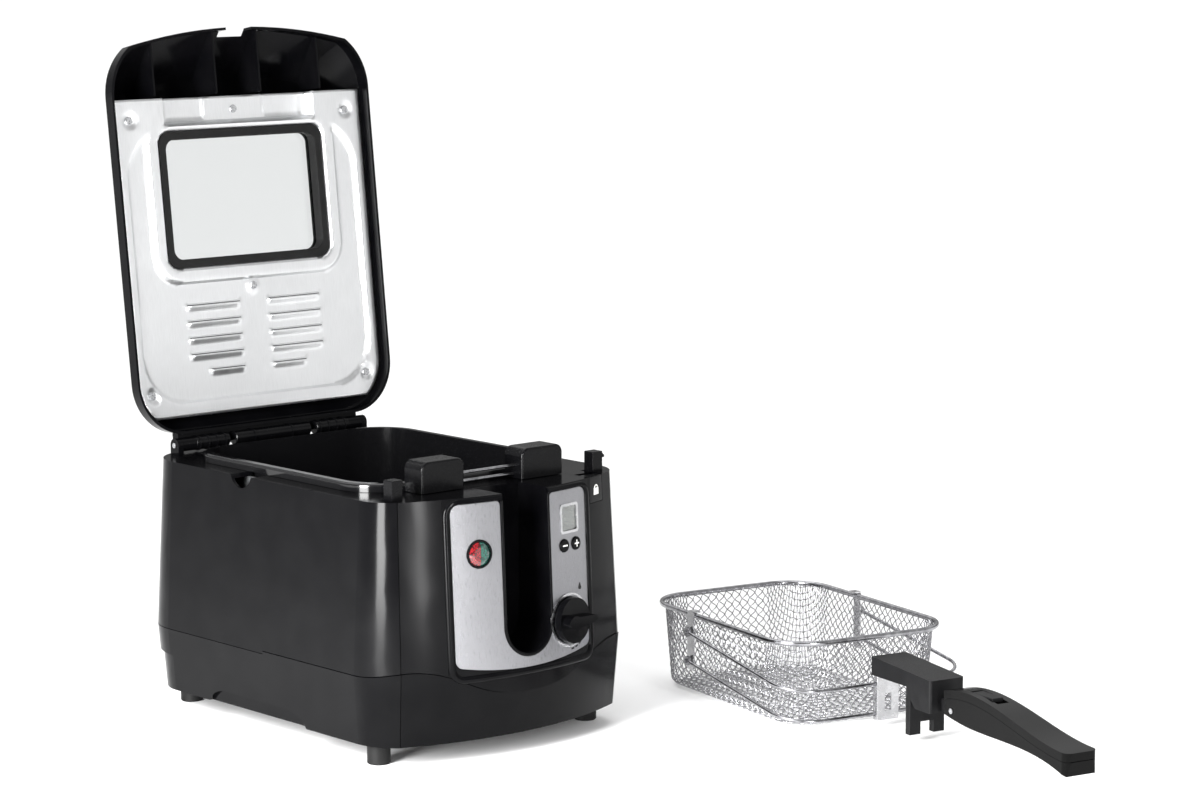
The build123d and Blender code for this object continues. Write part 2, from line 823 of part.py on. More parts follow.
with BuildPart() as latch_bar:
    with BuildSketch(Plane.XY.offset(latch_bar_z)):
        with Locations((0, latch_bar_y)):
            Rectangle(2 * latch_x + latch_post, latch_bar_t)
    extrude(amount=latch_bar_h)
    bar_front = latch_bar_y - latch_bar_t / 2
    with BuildSketch(Plane.XY.offset(latch_bar_z)):
        with BuildLine():
            edge = release_x - stem_size / 2 - 0.6
            Polyline(
                (edge - 7, bar_front + 1),
                (edge - 7, stem_end_y - stem_size),
                (edge, stem_end_y - stem_size),
                (edge + bar_front + 1 - stem_end_y + stem_size, bar_front + 1),
                close=True,
            )
        make_face()
    extrude(amount=latch_bar_h)
    for side in (-1, 1):
        with BuildSketch(Plane.XY.offset(latch_bar_z)):
            with Locations((side * latch_x, latch_y)):
                Rectangle(latch_post, latch_post)
            with Locations((side * latch_x, (latch_y + latch_bar_y) / 2)):
                Rectangle(latch_post, latch_bar_y - latch_y)
        extrude(amount=latch_bar_h)
        with BuildSketch(Plane.XY.offset(latch_bar_z)):
            with Locations((side * latch_x, latch_y)):
                Rectangle(latch_post, latch_post)
        extrude(amount=latch_top_z - latch_bar_z)
        with BuildSketch(Plane.XZ.offset(-latch_y - latch_post / 2)):
            with BuildLine():
                root = side * latch_x + latch_post / 2 - 0.5
                Polyline(
                    (root, latch_top_z - 1),
                    (root + tooth + 0.5, latch_top_z - 4),
                    (root + tooth + 0.5, latch_top_z - 6),
                    (root, latch_top_z - 6),
                    close=True,
                )
            make_face()
        extrude(amount=latch_post)
save(latch_bar.part, "latch_bar")

# ------------------------------------------------------------------ pan and heating
pan_floor_z = pan_bottom_z
pan_rim_z = body_top_z + fit_gap
pan_top_z = pan_rim_z + pan_rim_h
with BuildPart() as pan:
    extrude(
        rounded_plan(pan_floor_z, pan_bottom_w, pan_bottom_d, pan_bottom_r, pan_y),
        amount=pan_top_z - 2 - pan_floor_z,
        taper=-pan_draft,
    )
    extrude(rounded_plan(pan_rim_z, pan_rim_w, pan_rim_d, pan_rim_r, pan_y), amount=pan_rim_h)
    fillet(pan.faces().sort_by(Axis.Z)[-1].edges(), 2.4)
    extrude(
        rounded_plan(
            pan_floor_z + pan_wall,
            pan_bottom_w - 2 * pan_wall,
            pan_bottom_d - 2 * pan_wall,
            pan_bottom_r - pan_wall,
            pan_y,
        ),
        amount=pan_top_z + 5 - pan_floor_z,
        taper=-pan_draft,
        mode=Mode.SUBTRACT,
    )
save(pan.part, "pan")

pan_front_y = pan_y - pan_rim_d / 2
grip_y = pan_front_y - grip_depth / 2 - fit_gap / 3
grip_mid_x = (grip_inner_x + grip_outer_x) / 2
for label, side in (("pan_grip_left", -1), ("pan_grip_right", 1)):
    with BuildPart() as grip:
        with BuildSketch(Plane.XZ.offset(-grip_y - grip_depth / 2)):
            with Locations((side * grip_mid_x, body_top_z + 2 * fit_gap)):
                Rectangle(grip_outer_x - grip_inner_x, grip_top_z - body_top_z, align=(Align.CENTER, Align.MIN))
        extrude(amount=grip_depth)
        fillet(grip.edges().filter_by(Axis.Y).group_by(Axis.Z)[-1], grip_corner_r)
        fillet(grip.faces().sort_by(Axis.Y)[0].edges().group_by(Axis.Z)[-1], 2)
        with Locations(*[Location((side * grip_inner_x, grip_y, z), (0, 90, 0)) for z in rest_wire_zs]):
            Cylinder(rest_wire_r + running_gap, 12, mode=Mode.SUBTRACT)
    save(grip.part, label)

with BuildPart() as rest_wires:
    for z in rest_wire_zs:
        with BuildSketch(Plane.YZ):
            with Locations((grip_y, z)):
                Circle(rest_wire_r)
        extrude(amount=grip_inner_x + 5.5, both=True)
save(rest_wires.part, "basket_rest_wires")

tank_w = pan_rim_w - 2
tank_d = pan_rim_d - 2
tank_r = pan_rim_r - 1
with BuildPart() as inner_tank:
    extrude(
        rounded_plan(tank_bottom_z, tank_w, tank_d, tank_r, pan_y),
        amount=cavity_top - fit_gap - tank_bottom_z,
    )
    extrude(
        rounded_plan(
            tank_bottom_z + tank_wall, tank_w - 2 * tank_wall, tank_d - 2 * tank_wall, tank_r - tank_wall, pan_y
        ),
        amount=body_top_z,
        mode=Mode.SUBTRACT,
    )
save(inner_tank.part, "inner_tank")

tube_z = tank_bottom_z + tank_wall + heater_tube_r + 0.1
with BuildPart() as heater_tube:
    extrude(
        rounded_plan(tube_z - heater_tube_r, pan_bottom_w - 60, pan_bottom_d - 70, 45, pan_y),
        amount=2 * heater_tube_r,
    )
    extrude(
        rounded_plan(
            tube_z - heater_tube_r - 1,
            pan_bottom_w - 60 - 4 * heater_tube_r,
            pan_bottom_d - 70 - 4 * heater_tube_r,
            45 - 2 * heater_tube_r,
            pan_y,
        ),
        amount=2 * heater_tube_r + 2,
        mode=Mode.SUBTRACT,
    )
    fillet(heater_tube.edges().filter_by(Plane.XY), heater_tube_r * 0.9)
save(heater_tube.part, "heater_tube")

with BuildPart() as heater_plate:
    extrude(
        rounded_plan(pan_floor_z - fit_gap - heater_plate_t, pan_bottom_w - 24, pan_bottom_d - 24, 34, pan_y),
        amount=heater_plate_t,
    )
save(heater_plate.part, "heater_plate")

gland_face_y = half_d - base_recess - (split_z - gland_z) * tan(radians(base_taper))
with BuildPart() as cord_gland:
    with BuildSketch(Plane.XZ.offset(-gland_face_y - 1.2)):
        with Locations((gland_x, gland_z)):
            Circle(gland_r + 2)
            Circle(gland_bore, mode=Mode.SUBTRACT)
    extrude(amount=-2.0)
    with BuildSketch(Plane.XZ.offset(-gland_face_y - 1.5)):
        with Locations((gland_x, gland_z)):
            Circle(gland_r)
            Circle(gland_bore, mode=Mode.SUBTRACT)
    extrude(amount=8.0)
save(cord_gland.part, "cord_gland")

# ------------------------------------------------------------------ lid
def lid_draw_in(h):
    """How far the lid's outline has drawn in: an upright rim, then a sloping crown."""
    rim = min(h, lid_break) - lid_rim
    crown = max(h - lid_break, 0)
    return rim * tan(radians(rim_taper)) + crown * tan(radians(crown_taper))


def lid_plan(h, inset=0.0):
    """The lid's outline: narrow round rear, straight sides, bowed hood front."""
    draw_in = inset + lid_draw_in(h)
    corner = lid_corner_r - draw_in / 2
    with BuildSketch(lid_plane(h)) as plan:
        with BuildLine():
            rear_end = lid_half_rear - draw_in - corner, lid_rear + draw_in
            side_start = lid_half_rear - draw_in, lid_rear + draw_in + corner
            side_end = lid_half_front - draw_in, lid_side_end - draw_in * 0.6
            shoulder = lid_shoulder_x - 0.9 * draw_in, lid_shoulder - 0.95 * draw_in
            Line((0, lid_rear + draw_in), rear_end)
            TangentArc(rear_end, side_start, tangent=(1, 0))
            Line(side_start, side_end)
            TangentArc(side_end, shoulder, tangent=(0, 1))
            TangentArc((0, lid_front - draw_in), shoulder, tangent=(1, 0))
            mirror(about=Plane.YZ)
        make_face()
    return plan.sketch


def lid_solid(inset):
    """The lid's outer shape, or the room inside it when drawn in by the wall."""
    with BuildPart() as solid:
        loft([lid_plan(lid_rim, inset), lid_plan(lid_break, inset)], ruled=True)
        loft([lid_plan(lid_break, inset), lid_plan(lid_rim + lid_height, inset)], ruled=True)
        extrude(lid_crown(inset), amount=lid_half_front + 10, both=True, mode=Mode.SUBTRACT)
    return solid.part


def lid_crown(drop):
    """Side view of everything above the lid's top, which rises into the hood."""
    with BuildSketch(lid_side_plane()) as face:
        with BuildLine():
            flat = Line((lid_rear - 20, lid_top - drop), (hood_start, lid_top - drop))
            rise = Spline(
                flat @ 1,
                (hood_crest, hood_top - drop),
                (lid_front + 20, hood_top - 2 - drop),
                tangents=[(1, 0), (1, -0.12)],
            )
            Polyline(rise @ 1, (lid_front + 20, 90), (lid_rear - 20, 90), flat @ 0)
        make_face()
    return face.sketch


lid_height = hood_top + 8 - lid_rim
window_at = (0, window_mid)

shell_room = lid_solid(lid_wall)

with BuildPart() as hood_ribs:
    for x in (-98, -26, 26, 98):
        with BuildSketch(lid_plane(lid_rim + 8)):
            with Locations((x, liner_front + 2)):
                Rectangle(2, lid_front, align=(Align.CENTER, Align.MIN))
        extrude(amount=lid_height)
    for x in (-lid_screw_x, lid_screw_x):
        with BuildSketch(lid_plane(liner_h + liner_t)):
            with Locations((x, 48), (x, 308)):
                Circle(boss_r)
        extrude(amount=lid_height)
    with BuildSketch(lid_plane(liner_h + liner_t)):
        with Locations((0, 144)):
            Circle(boss_r)
    extrude(amount=lid_height)
    with BuildSketch(lid_plane(liner_h + pad_depth + liner_t)):
        with Locations((0, 315)):
            Circle(boss_r)
    extrude(amount=lid_height)
    add(shell_room, mode=Mode.INTERSECT)

with BuildPart() as lid_shell:
    add(lid_solid(0))
    add(shell_room, mode=Mode.SUBTRACT)
    add(hood_ribs.part)
    # Window opening and steam slots through the top
    with BuildSketch(lid_plane(0)):
        with Locations(window_at):
            RectangleRounded(window_w - 2 * frame_band, window_l - 2 * frame_band, window_r - 3)
    extrude(amount=lid_height, mode=Mode.SUBTRACT)
    with BuildSketch(lid_plane(liner_h)):
        with Locations((0, 90)):
            with GridLocations(70, 9, 2, 7):
                SlotOverall(52, 4)
    extrude(amount=lid_height, mode=Mode.SUBTRACT)
    # Notch for the folded handle in the hood's front edge
    with BuildSketch(lid_plane(lid_rim - 1)):
        with Locations((0, lid_front - 8)):
            Rectangle(2 * notch_half, 60, align=(Align.CENTER, Align.MIN))
    extrude(amount=24, mode=Mode.SUBTRACT)
    # Neck and hinge barrels
    with BuildSketch(lid_plane(2)):
        with Locations((0, lid_rear - 12)):
            Rectangle(2 * neck_half, 14, align=(Align.CENTER, Align.MIN))
    extrude(amount=9)
    with BuildSketch(Plane.YZ.offset(barrel_inner)):
        with Locations((hinge_y, hinge_z)):
            Circle(barrel_r)
    extrude(amount=neck_half - barrel_inner)
    with BuildSketch(Plane.YZ.offset(-neck_half)):
        with Locations((hinge_y, hinge_z)):
            Circle(barrel_r)
    extrude(amount=neck_half - barrel_inner)
    with BuildSketch(Plane.YZ):
        with Locations((hinge_y, hinge_z)):
            Circle(hinge_pin_r + running_gap)
    extrude(amount=neck_half + 1, both=True, mode=Mode.SUBTRACT)
save(lid_shell.part, "lid_shell")

with BuildPart() as hinge_pins:
    for side in (-1, 1):
        with BuildSketch(Plane.YZ.offset(side * (barrel_inner - 2))):
            with Locations((hinge_y, hinge_z)):
                Circle(hinge_pin_r)
        extrude(amount=side * (neck_half + ear_t + 1 - barrel_inner + 2))
save(hinge_pins.part, "hinge_pins")

liner_inset = lid_wall + 2.0
with BuildPart() as lid_liner:
    extrude(lid_plan(liner_h, liner_inset), amount=liner_t)
    with BuildSketch(lid_plane(liner_h - 1)):
        with Locations((0, liner_rear)):
            Rectangle(2 * lid_half_front, 100, align=(Align.CENTER, Align.MAX))
        with Locations((0, liner_front)):
            Rectangle(2 * lid_half_front, 100, align=(Align.CENTER, Align.MIN))
    extrude(amount=liner_t + 2, mode=Mode.SUBTRACT)
    with BuildSketch(lid_plane(liner_h - 1)):
        with Locations(window_at):
            RectangleRounded(window_w + 2 * fit_gap, window_l + 2 * fit_gap, window_r)
    extrude(amount=liner_t + 2, mode=Mode.SUBTRACT)
    # Recessed pad that clears the pan's grips
    with BuildSketch(lid_plane(liner_h)):
        with Locations((0, liner_front)):
            Rectangle(180, pad_length, align=(Align.CENTER, Align.MAX))
    extrude(amount=pad_depth + liner_t)
    with BuildSketch(lid_plane(liner_h - 1)):
        with Locations((0, liner_front + 1)):
            Rectangle(180 - 2 * liner_t, pad_length + 1 - liner_t, align=(Align.CENTER, Align.MAX))
    extrude(amount=pad_depth + 1, mode=Mode.SUBTRACT)
    # Louvres
    with BuildSketch(lid_plane(liner_h - 1)):
        for row in range(louvre_count):
            length = louvre_short if row == louvre_count - 1 else louvre_long
            y = louvre_first - row * louvre_pitch
            with Locations((louvre_inner + length / 2, y), (-louvre_inner - length / 2, y)):
                SlotOverall(length, louvre_w)
    extrude(amount=liner_t + 2, mode=Mode.SUBTRACT)
    # Stamped rib round the edge
    with BuildSketch(lid_plane(liner_h + 0.2)):
        with Locations((0, (liner_rear + liner_front - pad_length) / 2 + 5)):
            RectangleRounded(rib_w, rib_l, rib_r)
            RectangleRounded(rib_w - 2 * rib_band, rib_l - 2 * rib_band, rib_r - rib_band, mode=Mode.SUBTRACT)
    extrude(amount=-rib_h - 0.2)
save(lid_liner.part, "lid_liner")

with BuildPart() as window_frame:
    ceiling = lid_top - lid_wall
    with BuildSketch(lid_plane(liner_h - 1)):
        with Locations(window_at):
            RectangleRounded(window_w, window_l, window_r - fit_gap)
            RectangleRounded(window_w - 2 * frame_band, window_l - 2 * frame_band, window_r - 3, mode=Mode.SUBTRACT)
    extrude(amount=ceiling - fit_gap - liner_h + 1)
    with BuildSketch(lid_plane(ceiling - glass_t - fit_gap)):
        with Locations(window_at):
            RectangleRounded(window_w - 5, window_l - 5, window_r - 3)
    extrude(amount=glass_t + 1, mode=Mode.SUBTRACT)
save(window_frame.part, "window_frame")

with BuildPart() as window_glass:
    with BuildSketch(lid_plane(ceiling - glass_t)):
        with Locations(window_at):
            RectangleRounded(window_w - 5.6, window_l - 5.6, window_r - 3.3)
    extrude(amount=glass_t)
save(window_glass.part, "window_glass")

with BuildPart() as odour_filter:
    with BuildSketch(lid_plane(liner_h + liner_t + fit_gap)):
        with Locations((0, 92)):
            RectangleRounded(180, 88, 8)
    extrude(amount=ceiling - liner_h - liner_t - 2 * fit_gap)
save(odour_filter.part, "odour_filter")

with BuildPart() as lid_screws:
    places = [(-lid_screw_x, 48), (lid_screw_x, 48), (-lid_screw_x, 308), (lid_screw_x, 308), (0, 144)]
    with BuildSketch(lid_plane(liner_h)):
        with Locations(*places):
            Circle(lid_screw_r)
    extrude(amount=-1.8, taper=20)
    with BuildSketch(lid_plane(liner_h + pad_depth)):
        with Locations((0, 315)):
            Circle(lid_screw_r)
    extrude(amount=-1.8, taper=20)
save(lid_screws.part, "lid_screws")

# ------------------------------------------------------------------ basket
def basket_outline(h, grow=0.0):
    """The basket's rounded outline at a height above the floor, narrower lower down."""
    shrink = (basket_h - h) / basket_h * basket_taper
    width = basket_w - rim_wire - 2 * shrink + 2 * grow
    depth = basket_d - rim_wire - 2 * shrink + 2 * grow
    with BuildSketch(basket_plane(h)) as plan:
        RectangleRounded(width, depth, basket_r - rim_wire / 2 - shrink / 2 + grow)
    return plan.sketch


basket_bottom = 0.6
rim_low = basket_h - rim_wire

with BuildPart() as basket_body:
    loft([basket_outline(basket_bottom), basket_outline(rim_low + 1)], ruled=True)
    loft(
        [basket_outline(basket_bottom + basket_wall, -basket_wall), basket_outline(basket_h, -basket_wall)],
        ruled=True,
        mode=Mode.SUBTRACT,
    )
    with BuildSketch(basket_plane(rim_low - 0.1)):
        RectangleRounded(basket_w + 10, basket_d + 10, basket_r)
    extrude(amount=10, mode=Mode.SUBTRACT)
save(basket_body.part, "basket_mesh")

with BuildPart() as basket_rim:
    with BuildSketch(basket_plane(rim_low)):
        RectangleRounded(basket_w, basket_d, basket_r)
        RectangleRounded(basket_w - 2 * rim_wire, basket_d - 2 * rim_wire, basket_r - rim_wire, mode=Mode.SUBTRACT)
    extrude(amount=rim_wire)
    fillet(basket_rim.edges().filter_by(Plane.XY), rim_wire * 0.45)
save(basket_rim.part, "basket_rim")

bracket_u = basket_w / 2 + fit_gap
for label, side in (("basket_bracket_left", -1), ("basket_bracket_right", 1)):
    with BuildPart() as bracket:
        with BuildSketch(basket_side_plane(side * bracket_u)):
            with Locations((-bracket_v, (pivot_lower_z + basket_h) / 2 - 4)):
                RectangleRounded(bracket_w, basket_h - pivot_lower_z + 10, 3)
            with Locations((-bracket_v, pivot_upper_z), (-bracket_v, pivot_lower_z)):
                Circle(rivet_r, mode=Mode.SUBTRACT)
        extrude(amount=-side * bracket_t)
        # The hook that clips over the rim wire
        with BuildSketch(basket_side_plane(side * (bracket_u + bracket_t))):
            with Locations((-bracket_v, basket_h + fit_gap)):
                Rectangle(bracket_w * 0.8, bracket_t, align=(Align.CENTER, Align.MIN))
        extrude(amount=side * (rim_wire + 2 * bracket_t + 2 * fit_gap))
        with BuildSketch(basket_side_plane(side * (bracket_u + bracket_t))):
            with Locations((-bracket_v, basket_h - 2)):
                Rectangle(bracket_w * 0.8, 2 + fit_gap + 0.5, align=(Align.CENTER, Align.MIN))
        extrude(amount=side * bracket_t)
    save(bracket.part, label)

wire_u = cradle_half
with BuildPart() as rivets:
    for side in (-1, 1):
        for z in (pivot_upper_z, pivot_lower_z):
            with BuildSketch(basket_side_plane(side * (bracket_u - 1.2))):
                with Locations((-bracket_v, z)):
                    Circle(rivet_r)
            extrude(amount=-side * (wire_u + cradle_wire_r - bracket_u + 3))
save(rivets.part, "basket_rivets")


def cradle_plane(z):
    """The sloping plane of one cradle wire: x across, y from its pivots towards the rear."""
    tilt = radians(cradle_tilt)
    side = Vector(*basket_side)
    back = Vector(-side.Y, side.X, 0)
    along = back * cos(tilt) - Vector(0, 0, 1) * sin(tilt)
    at = Vector(basket_x, basket_y, 0) + back * bracket_v + Vector(0, 0, z)
    return Plane(origin=at, x_dir=side, z_dir=side.cross(along))


for label, z in (("cradle_wire_upper", pivot_upper_z), ("cradle_wire_lower", pivot_lower_z)):
    with BuildPart() as cradle_wire:
        with BuildLine(cradle_plane(z)) as route:
            start = -cradle_half, -rivet_r - 2
            FilletPolyline(
                start,
                (-cradle_half, -cradle_reach),
                (cradle_half, -cradle_reach),
                (cradle_half, -rivet_r - 2),
                radius=cradle_bend_r,
            )
        with BuildSketch(Plane(origin=route.line @ 0, z_dir=route.line % 0)):
            Circle(cradle_wire_r)
        sweep()
        # Eyes that turn on the rivets
        for side in (-1, 1):
            with BuildSketch(basket_side_plane(side * (cradle_half - cradle_eye_t / 2))):
                with Locations((-bracket_v, z)):
                    Circle(cradle_eye_r)
            extrude(amount=-side * cradle_eye_t)
            with BuildSketch(basket_side_plane(side * (cradle_half - cradle_wire_r - 1))):
                with Locations((-bracket_v, z)):
                    Circle(rivet_r + running_gap)
            extrude(amount=-side * (2 * cradle_wire_r + 2), mode=Mode.SUBTRACT)
    save(cradle_wire.part, label)

# Places along the handle, measured forward from the basket's middle
wire_front = cradle_reach * cos(radians(cradle_tilt)) - bracket_v
wire_drop = cradle_reach * sin(radians(-cradle_tilt))
upper_front_z = pivot_upper_z - wire_drop
lower_front_z = pivot_lower_z - wire_drop
channel_face = wire_front + 2.6
channel_low = lower_front_z - 6
channel_high = handle_top_z - 4

with BuildPart() as channel:
    with BuildSketch(basket_side_plane(handle_shift)):
        with Locations((wire_front - 2.4, channel_low)):
            Rectangle(channel_face + channel_t - wire_front + 2.4, channel_high - channel_low, align=Align.MIN)
    extrude(amount=channel_half, both=True)
    with BuildSketch(basket_side_plane(handle_shift)):
        with Locations((wire_front - 5, channel_low - 1)):
            Rectangle(channel_face - wire_front + 5, channel_high - channel_low + 2, align=Align.MIN)
    extrude(amount=channel_half - channel_t, both=True, mode=Mode.SUBTRACT)
    with BuildSketch(basket_side_plane(handle_shift)):
        with Locations((wire_front, upper_front_z)):
            Circle(cradle_wire_r + running_gap)
        with Locations((wire_front, lower_front_z)):
            Circle(cradle_wire_r + fit_gap)
    extrude(amount=channel_half + 1, both=True, mode=Mode.SUBTRACT)
    with BuildSketch(basket_side_plane(handle_shift)):
        with Locations((channel_face - 1, (channel_low + channel_high) / 2 - 12)):
            Rectangle(4, 16, align=(Align.MIN, Align.CENTER))
    extrude(amount=3.5, both=True, mode=Mode.SUBTRACT)
save(channel.part, "handle_channel")

handle_start = channel_face + channel_t
handle_end = handle_start + handle_length
leg_from = handle_start + leg_start
fold_at = handle_end + fold_reach
handle_mid = basket_side_plane(handle_shift)

with BuildPart() as handle_base:
    # Side view: a bar that droops to the front, a deep nose and a thin plate for the legs
    with BuildSketch(handle_mid):
        with BuildLine():
            Polyline(
                (handle_start, bar_low_z),
                (leg_from, bar_low_z),
                (leg_from, leg_bottom_z),
                (leg_from + leg_t, leg_bottom_z),
                (leg_from + leg_t, nose_low_z + leg_t),
                (leg_from + 2 * leg_t, nose_low_z),
                (handle_end, nose_low_z),
                (handle_end, handle_top_z - handle_droop),
                (handle_start, handle_top_z),
                close=True,
            )
        make_face()
    extrude(amount=handle_half, both=True)
    fillet(handle_base.edges().filter_by(Axis.Z).sort_by(Axis.Y)[:2], 3)
    # Notch between the two legs
    with BuildSketch(handle_mid):
        with Locations((leg_from - 1, leg_bottom_z - 1)):
            Rectangle(leg_t + 2, leg_notch_z - leg_bottom_z + 1, align=Align.MIN)
    extrude(amount=leg_notch_w / 2, both=True, mode=Mode.SUBTRACT)
    # Lug for the folding grip
    with BuildSketch(handle_mid):
        with Locations((fold_at, fold_z)):
            Circle(lug_r)
        with Locations((handle_end - 3, fold_z)):
            Rectangle(fold_reach + 3, 2 * lug_r, align=(Align.MIN, Align.CENTER))
        with Locations((fold_at, fold_z)):
            Circle(fold_pin_r + running_gap, mode=Mode.SUBTRACT)
    extrude(amount=lug_half, both=True)
save(handle_base.part, "handle_base")


grip_back = fold_at - grip_tail
grip_tip = fold_at + grip_length
grip_waist = fold_at + grip_length * 0.45


def grip_side(drop):
    """Side view of the arched grip, from its underside up to a level below its top."""
    with BuildSketch(handle_mid) as face:
        with BuildLine():
            Spline(
                (grip_back, grip_rear_z - drop),
                (fold_at + grip_crown_at, grip_crown_z - drop),
                (grip_waist, grip_waist_z - drop),
                (grip_tip, grip_tip_z - drop),
            )
            Line((grip_tip, grip_tip_z - drop), (grip_tip - 2, grip_tip_low))
            Spline(
                (grip_tip - 2, grip_tip_low),
                (grip_waist, grip_low_z - 1),
                (fold_at + 2 * grip_tail, grip_low_z),
                (grip_back, grip_low_z + 5),
            )
            Line((grip_back, grip_low_z + 5), (grip_back, grip_rear_z - drop))
        make_face()
    return face.sketch


def grip_plan():
    """Plan of the grip: narrow at the fold, wide and rounded at the tip."""
    with BuildSketch(basket_plane()) as plan:
        with BuildLine():
            Polyline(
                (handle_shift - grip_rear_half, -grip_back),
                (handle_shift + grip_rear_half, -grip_back),
                (handle_shift + grip_tip_half, -grip_tip),
                (handle_shift - grip_tip_half, -grip_tip),
                close=True,
            )
        make_face()
        fillet(plan.vertices().group_by(Axis.Y)[0], grip_tip_r)
    return plan.sketch


with BuildPart() as grip_lower:
    extrude(grip_side(grip_upper_t), amount=grip_tip_half + 1, both=True)
    extrude(grip_plan(), amount=basket_h, mode=Mode.INTERSECT)
    # Clevis slot for the lug and hole for the pin
    with BuildSketch(handle_mid):
        with Locations((grip_back - 1, 0)):
            Rectangle(grip_tail + 1 + lug_r + 2, basket_h, align=Align.MIN)
    extrude(amount=lug_half + fit_gap, both=True, mode=Mode.SUBTRACT)
    with BuildSketch(handle_mid):
        with Locations((fold_at, fold_z)):
            Circle(fold_pin_r)
    extrude(amount=grip_tip_half + 1, both=True, mode=Mode.SUBTRACT)
save(grip_lower.part, "grip_lower")

with BuildPart() as grip_upper:
    extrude(grip_side(0), amount=grip_tip_half + 1, both=True)
    extrude(grip_side(grip_upper_t - fit_gap), amount=grip_tip_half + 2, both=True, mode=Mode.SUBTRACT)
    with BuildSketch(handle_mid):
        with Locations((grip_back, 0)):
            Rectangle(grip_length + 2 * grip_tail, grip_tip_z - grip_upper_t, align=Align.MIN)
    extrude(amount=grip_tip_half + 2, both=True, mode=Mode.SUBTRACT)
    extrude(grip_plan(), amount=basket_h, mode=Mode.INTERSECT)
    # Recess the thumb slide runs in
    with BuildSketch(handle_mid):
        with Locations((slider_start - 2, grip_crown_z - slider_room)):
            Rectangle(slider_length + slider_travel + 4, basket_h, align=Align.MIN)
    extrude(amount=slider_half + fit_gap, both=True, mode=Mode.SUBTRACT)
save(grip_upper.part, "grip_upper")

with BuildPart() as grip_pin:
    with BuildSketch(handle_mid):
        with Locations((fold_at, fold_z)):
            Circle(fold_pin_r)
    extrude(amount=grip_rear_half + 1.2, both=True)
save(grip_pin.part, "grip_pin")

with BuildPart() as slider:
    with BuildSketch(handle_mid):
        with Locations((slider_start, grip_crown_z - slider_room + fit_gap)):
            Rectangle(slider_length, slider_room - fit_gap, align=Align.MIN)
    extrude(amount=slider_half, both=True)
    fillet(slider.edges().group_by(Axis.Z)[-1], 1)
save(slider.part, "handle_slider")
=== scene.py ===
# %% [markdown]
# # A deep fryer with its lid open and its basket beside it
# The working parts were made in CAD and come in as a fixed frame. This file gives every surface its
# finish and adds the pieces that CAD is poor at: the pressed lid liner, the woven basket, printed marks.
# We start by loading the frame.

# %% Load the frame
import json
import math

import bpy
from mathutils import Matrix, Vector


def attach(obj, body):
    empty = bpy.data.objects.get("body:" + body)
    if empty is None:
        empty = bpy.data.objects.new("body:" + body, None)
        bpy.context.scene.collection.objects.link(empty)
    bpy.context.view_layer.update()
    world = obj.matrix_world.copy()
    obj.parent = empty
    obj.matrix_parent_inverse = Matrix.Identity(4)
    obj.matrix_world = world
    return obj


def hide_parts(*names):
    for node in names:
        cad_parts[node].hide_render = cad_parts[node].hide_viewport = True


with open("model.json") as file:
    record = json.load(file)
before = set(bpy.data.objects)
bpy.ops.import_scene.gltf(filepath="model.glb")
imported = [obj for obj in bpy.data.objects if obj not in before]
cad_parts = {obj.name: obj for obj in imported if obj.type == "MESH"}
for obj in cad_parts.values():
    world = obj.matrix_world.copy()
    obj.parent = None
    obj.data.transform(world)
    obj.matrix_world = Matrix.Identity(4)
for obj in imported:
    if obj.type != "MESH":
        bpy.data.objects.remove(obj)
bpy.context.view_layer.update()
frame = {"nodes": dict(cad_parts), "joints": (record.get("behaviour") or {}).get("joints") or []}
nodes = frame["nodes"]
joints = {joint["name"]: joint for joint in frame["joints"]}
MM = 0.001

# %% [markdown]
# ## Where things are
# Three parts of the fryer have their own natural directions: the lid leans back on its hinge, the front
# panel is bowed, and the basket stands at an angle. A small function for each turns simple measures,
# such as "so far along the lid", into a place in the scene.

# %% Places on the lid, the front and the basket
HINGE = Vector(joints["lid_hinge"]["pos_m"])
LID_LEAN = math.radians(6.8)
LID_UP = Vector((0, math.sin(LID_LEAN), math.cos(LID_LEAN)))
LID_OUT = Vector((0, math.cos(LID_LEAN), -math.sin(LID_LEAN)))


def on_lid(x, along, height):
    """A place on the lid: x across, along from the hinge, height out through the lid. All in mm."""
    across = Vector((x * MM, HINGE.y, HINGE.z))
    return across + LID_UP * along * MM + LID_OUT * height * MM


SEAM_Z, TOP_Z = 80.0, 238.0
FLARE = 8.0
HALF_DEPTH = 200.0
BOW, BOW_HALF = 27.0, 129.0
BOW_RADIUS = (BOW_HALF**2 + BOW**2) / (2 * BOW)


def on_front(x, z, proud=0.0):
    """A place on the bowed front at x and z, moved outwards by proud. All in mm."""
    inset = FLARE * (z - SEAM_Z) / (TOP_Z - SEAM_Z)
    radius = BOW_RADIUS - inset
    y = BOW_RADIUS - HALF_DEPTH - math.sqrt(radius * radius - x * x)
    return Vector((x, y, z)) * MM + front_normal(x, z) * proud * MM


def front_normal(x, z):
    """The outward direction of the bowed front."""
    inset = FLARE * (z - SEAM_Z) / (TOP_Z - SEAM_Z)
    across = x / (BOW_RADIUS - inset)
    return Vector((across, -math.sqrt(1 - across * across), FLARE / (TOP_Z - SEAM_Z))).normalized()


BASKET_YAW = math.radians(-12)
BASKET_MIDDLE = Vector((336.5, -201.8, 0))
BASKET_SIDE = Vector((math.cos(BASKET_YAW), math.sin(BASKET_YAW), 0))
BASKET_BACK = Vector((-math.sin(BASKET_YAW), math.cos(BASKET_YAW), 0))


def on_basket(side, back, z):
    """A place in the basket's own directions: sideways, backwards and up from its middle. All in mm."""
    return (BASKET_MIDDLE + BASKET_SIDE * side + BASKET_BACK * back + Vector((0, 0, z))) * MM


print("hinge at", [round(v, 3) for v in HINGE])

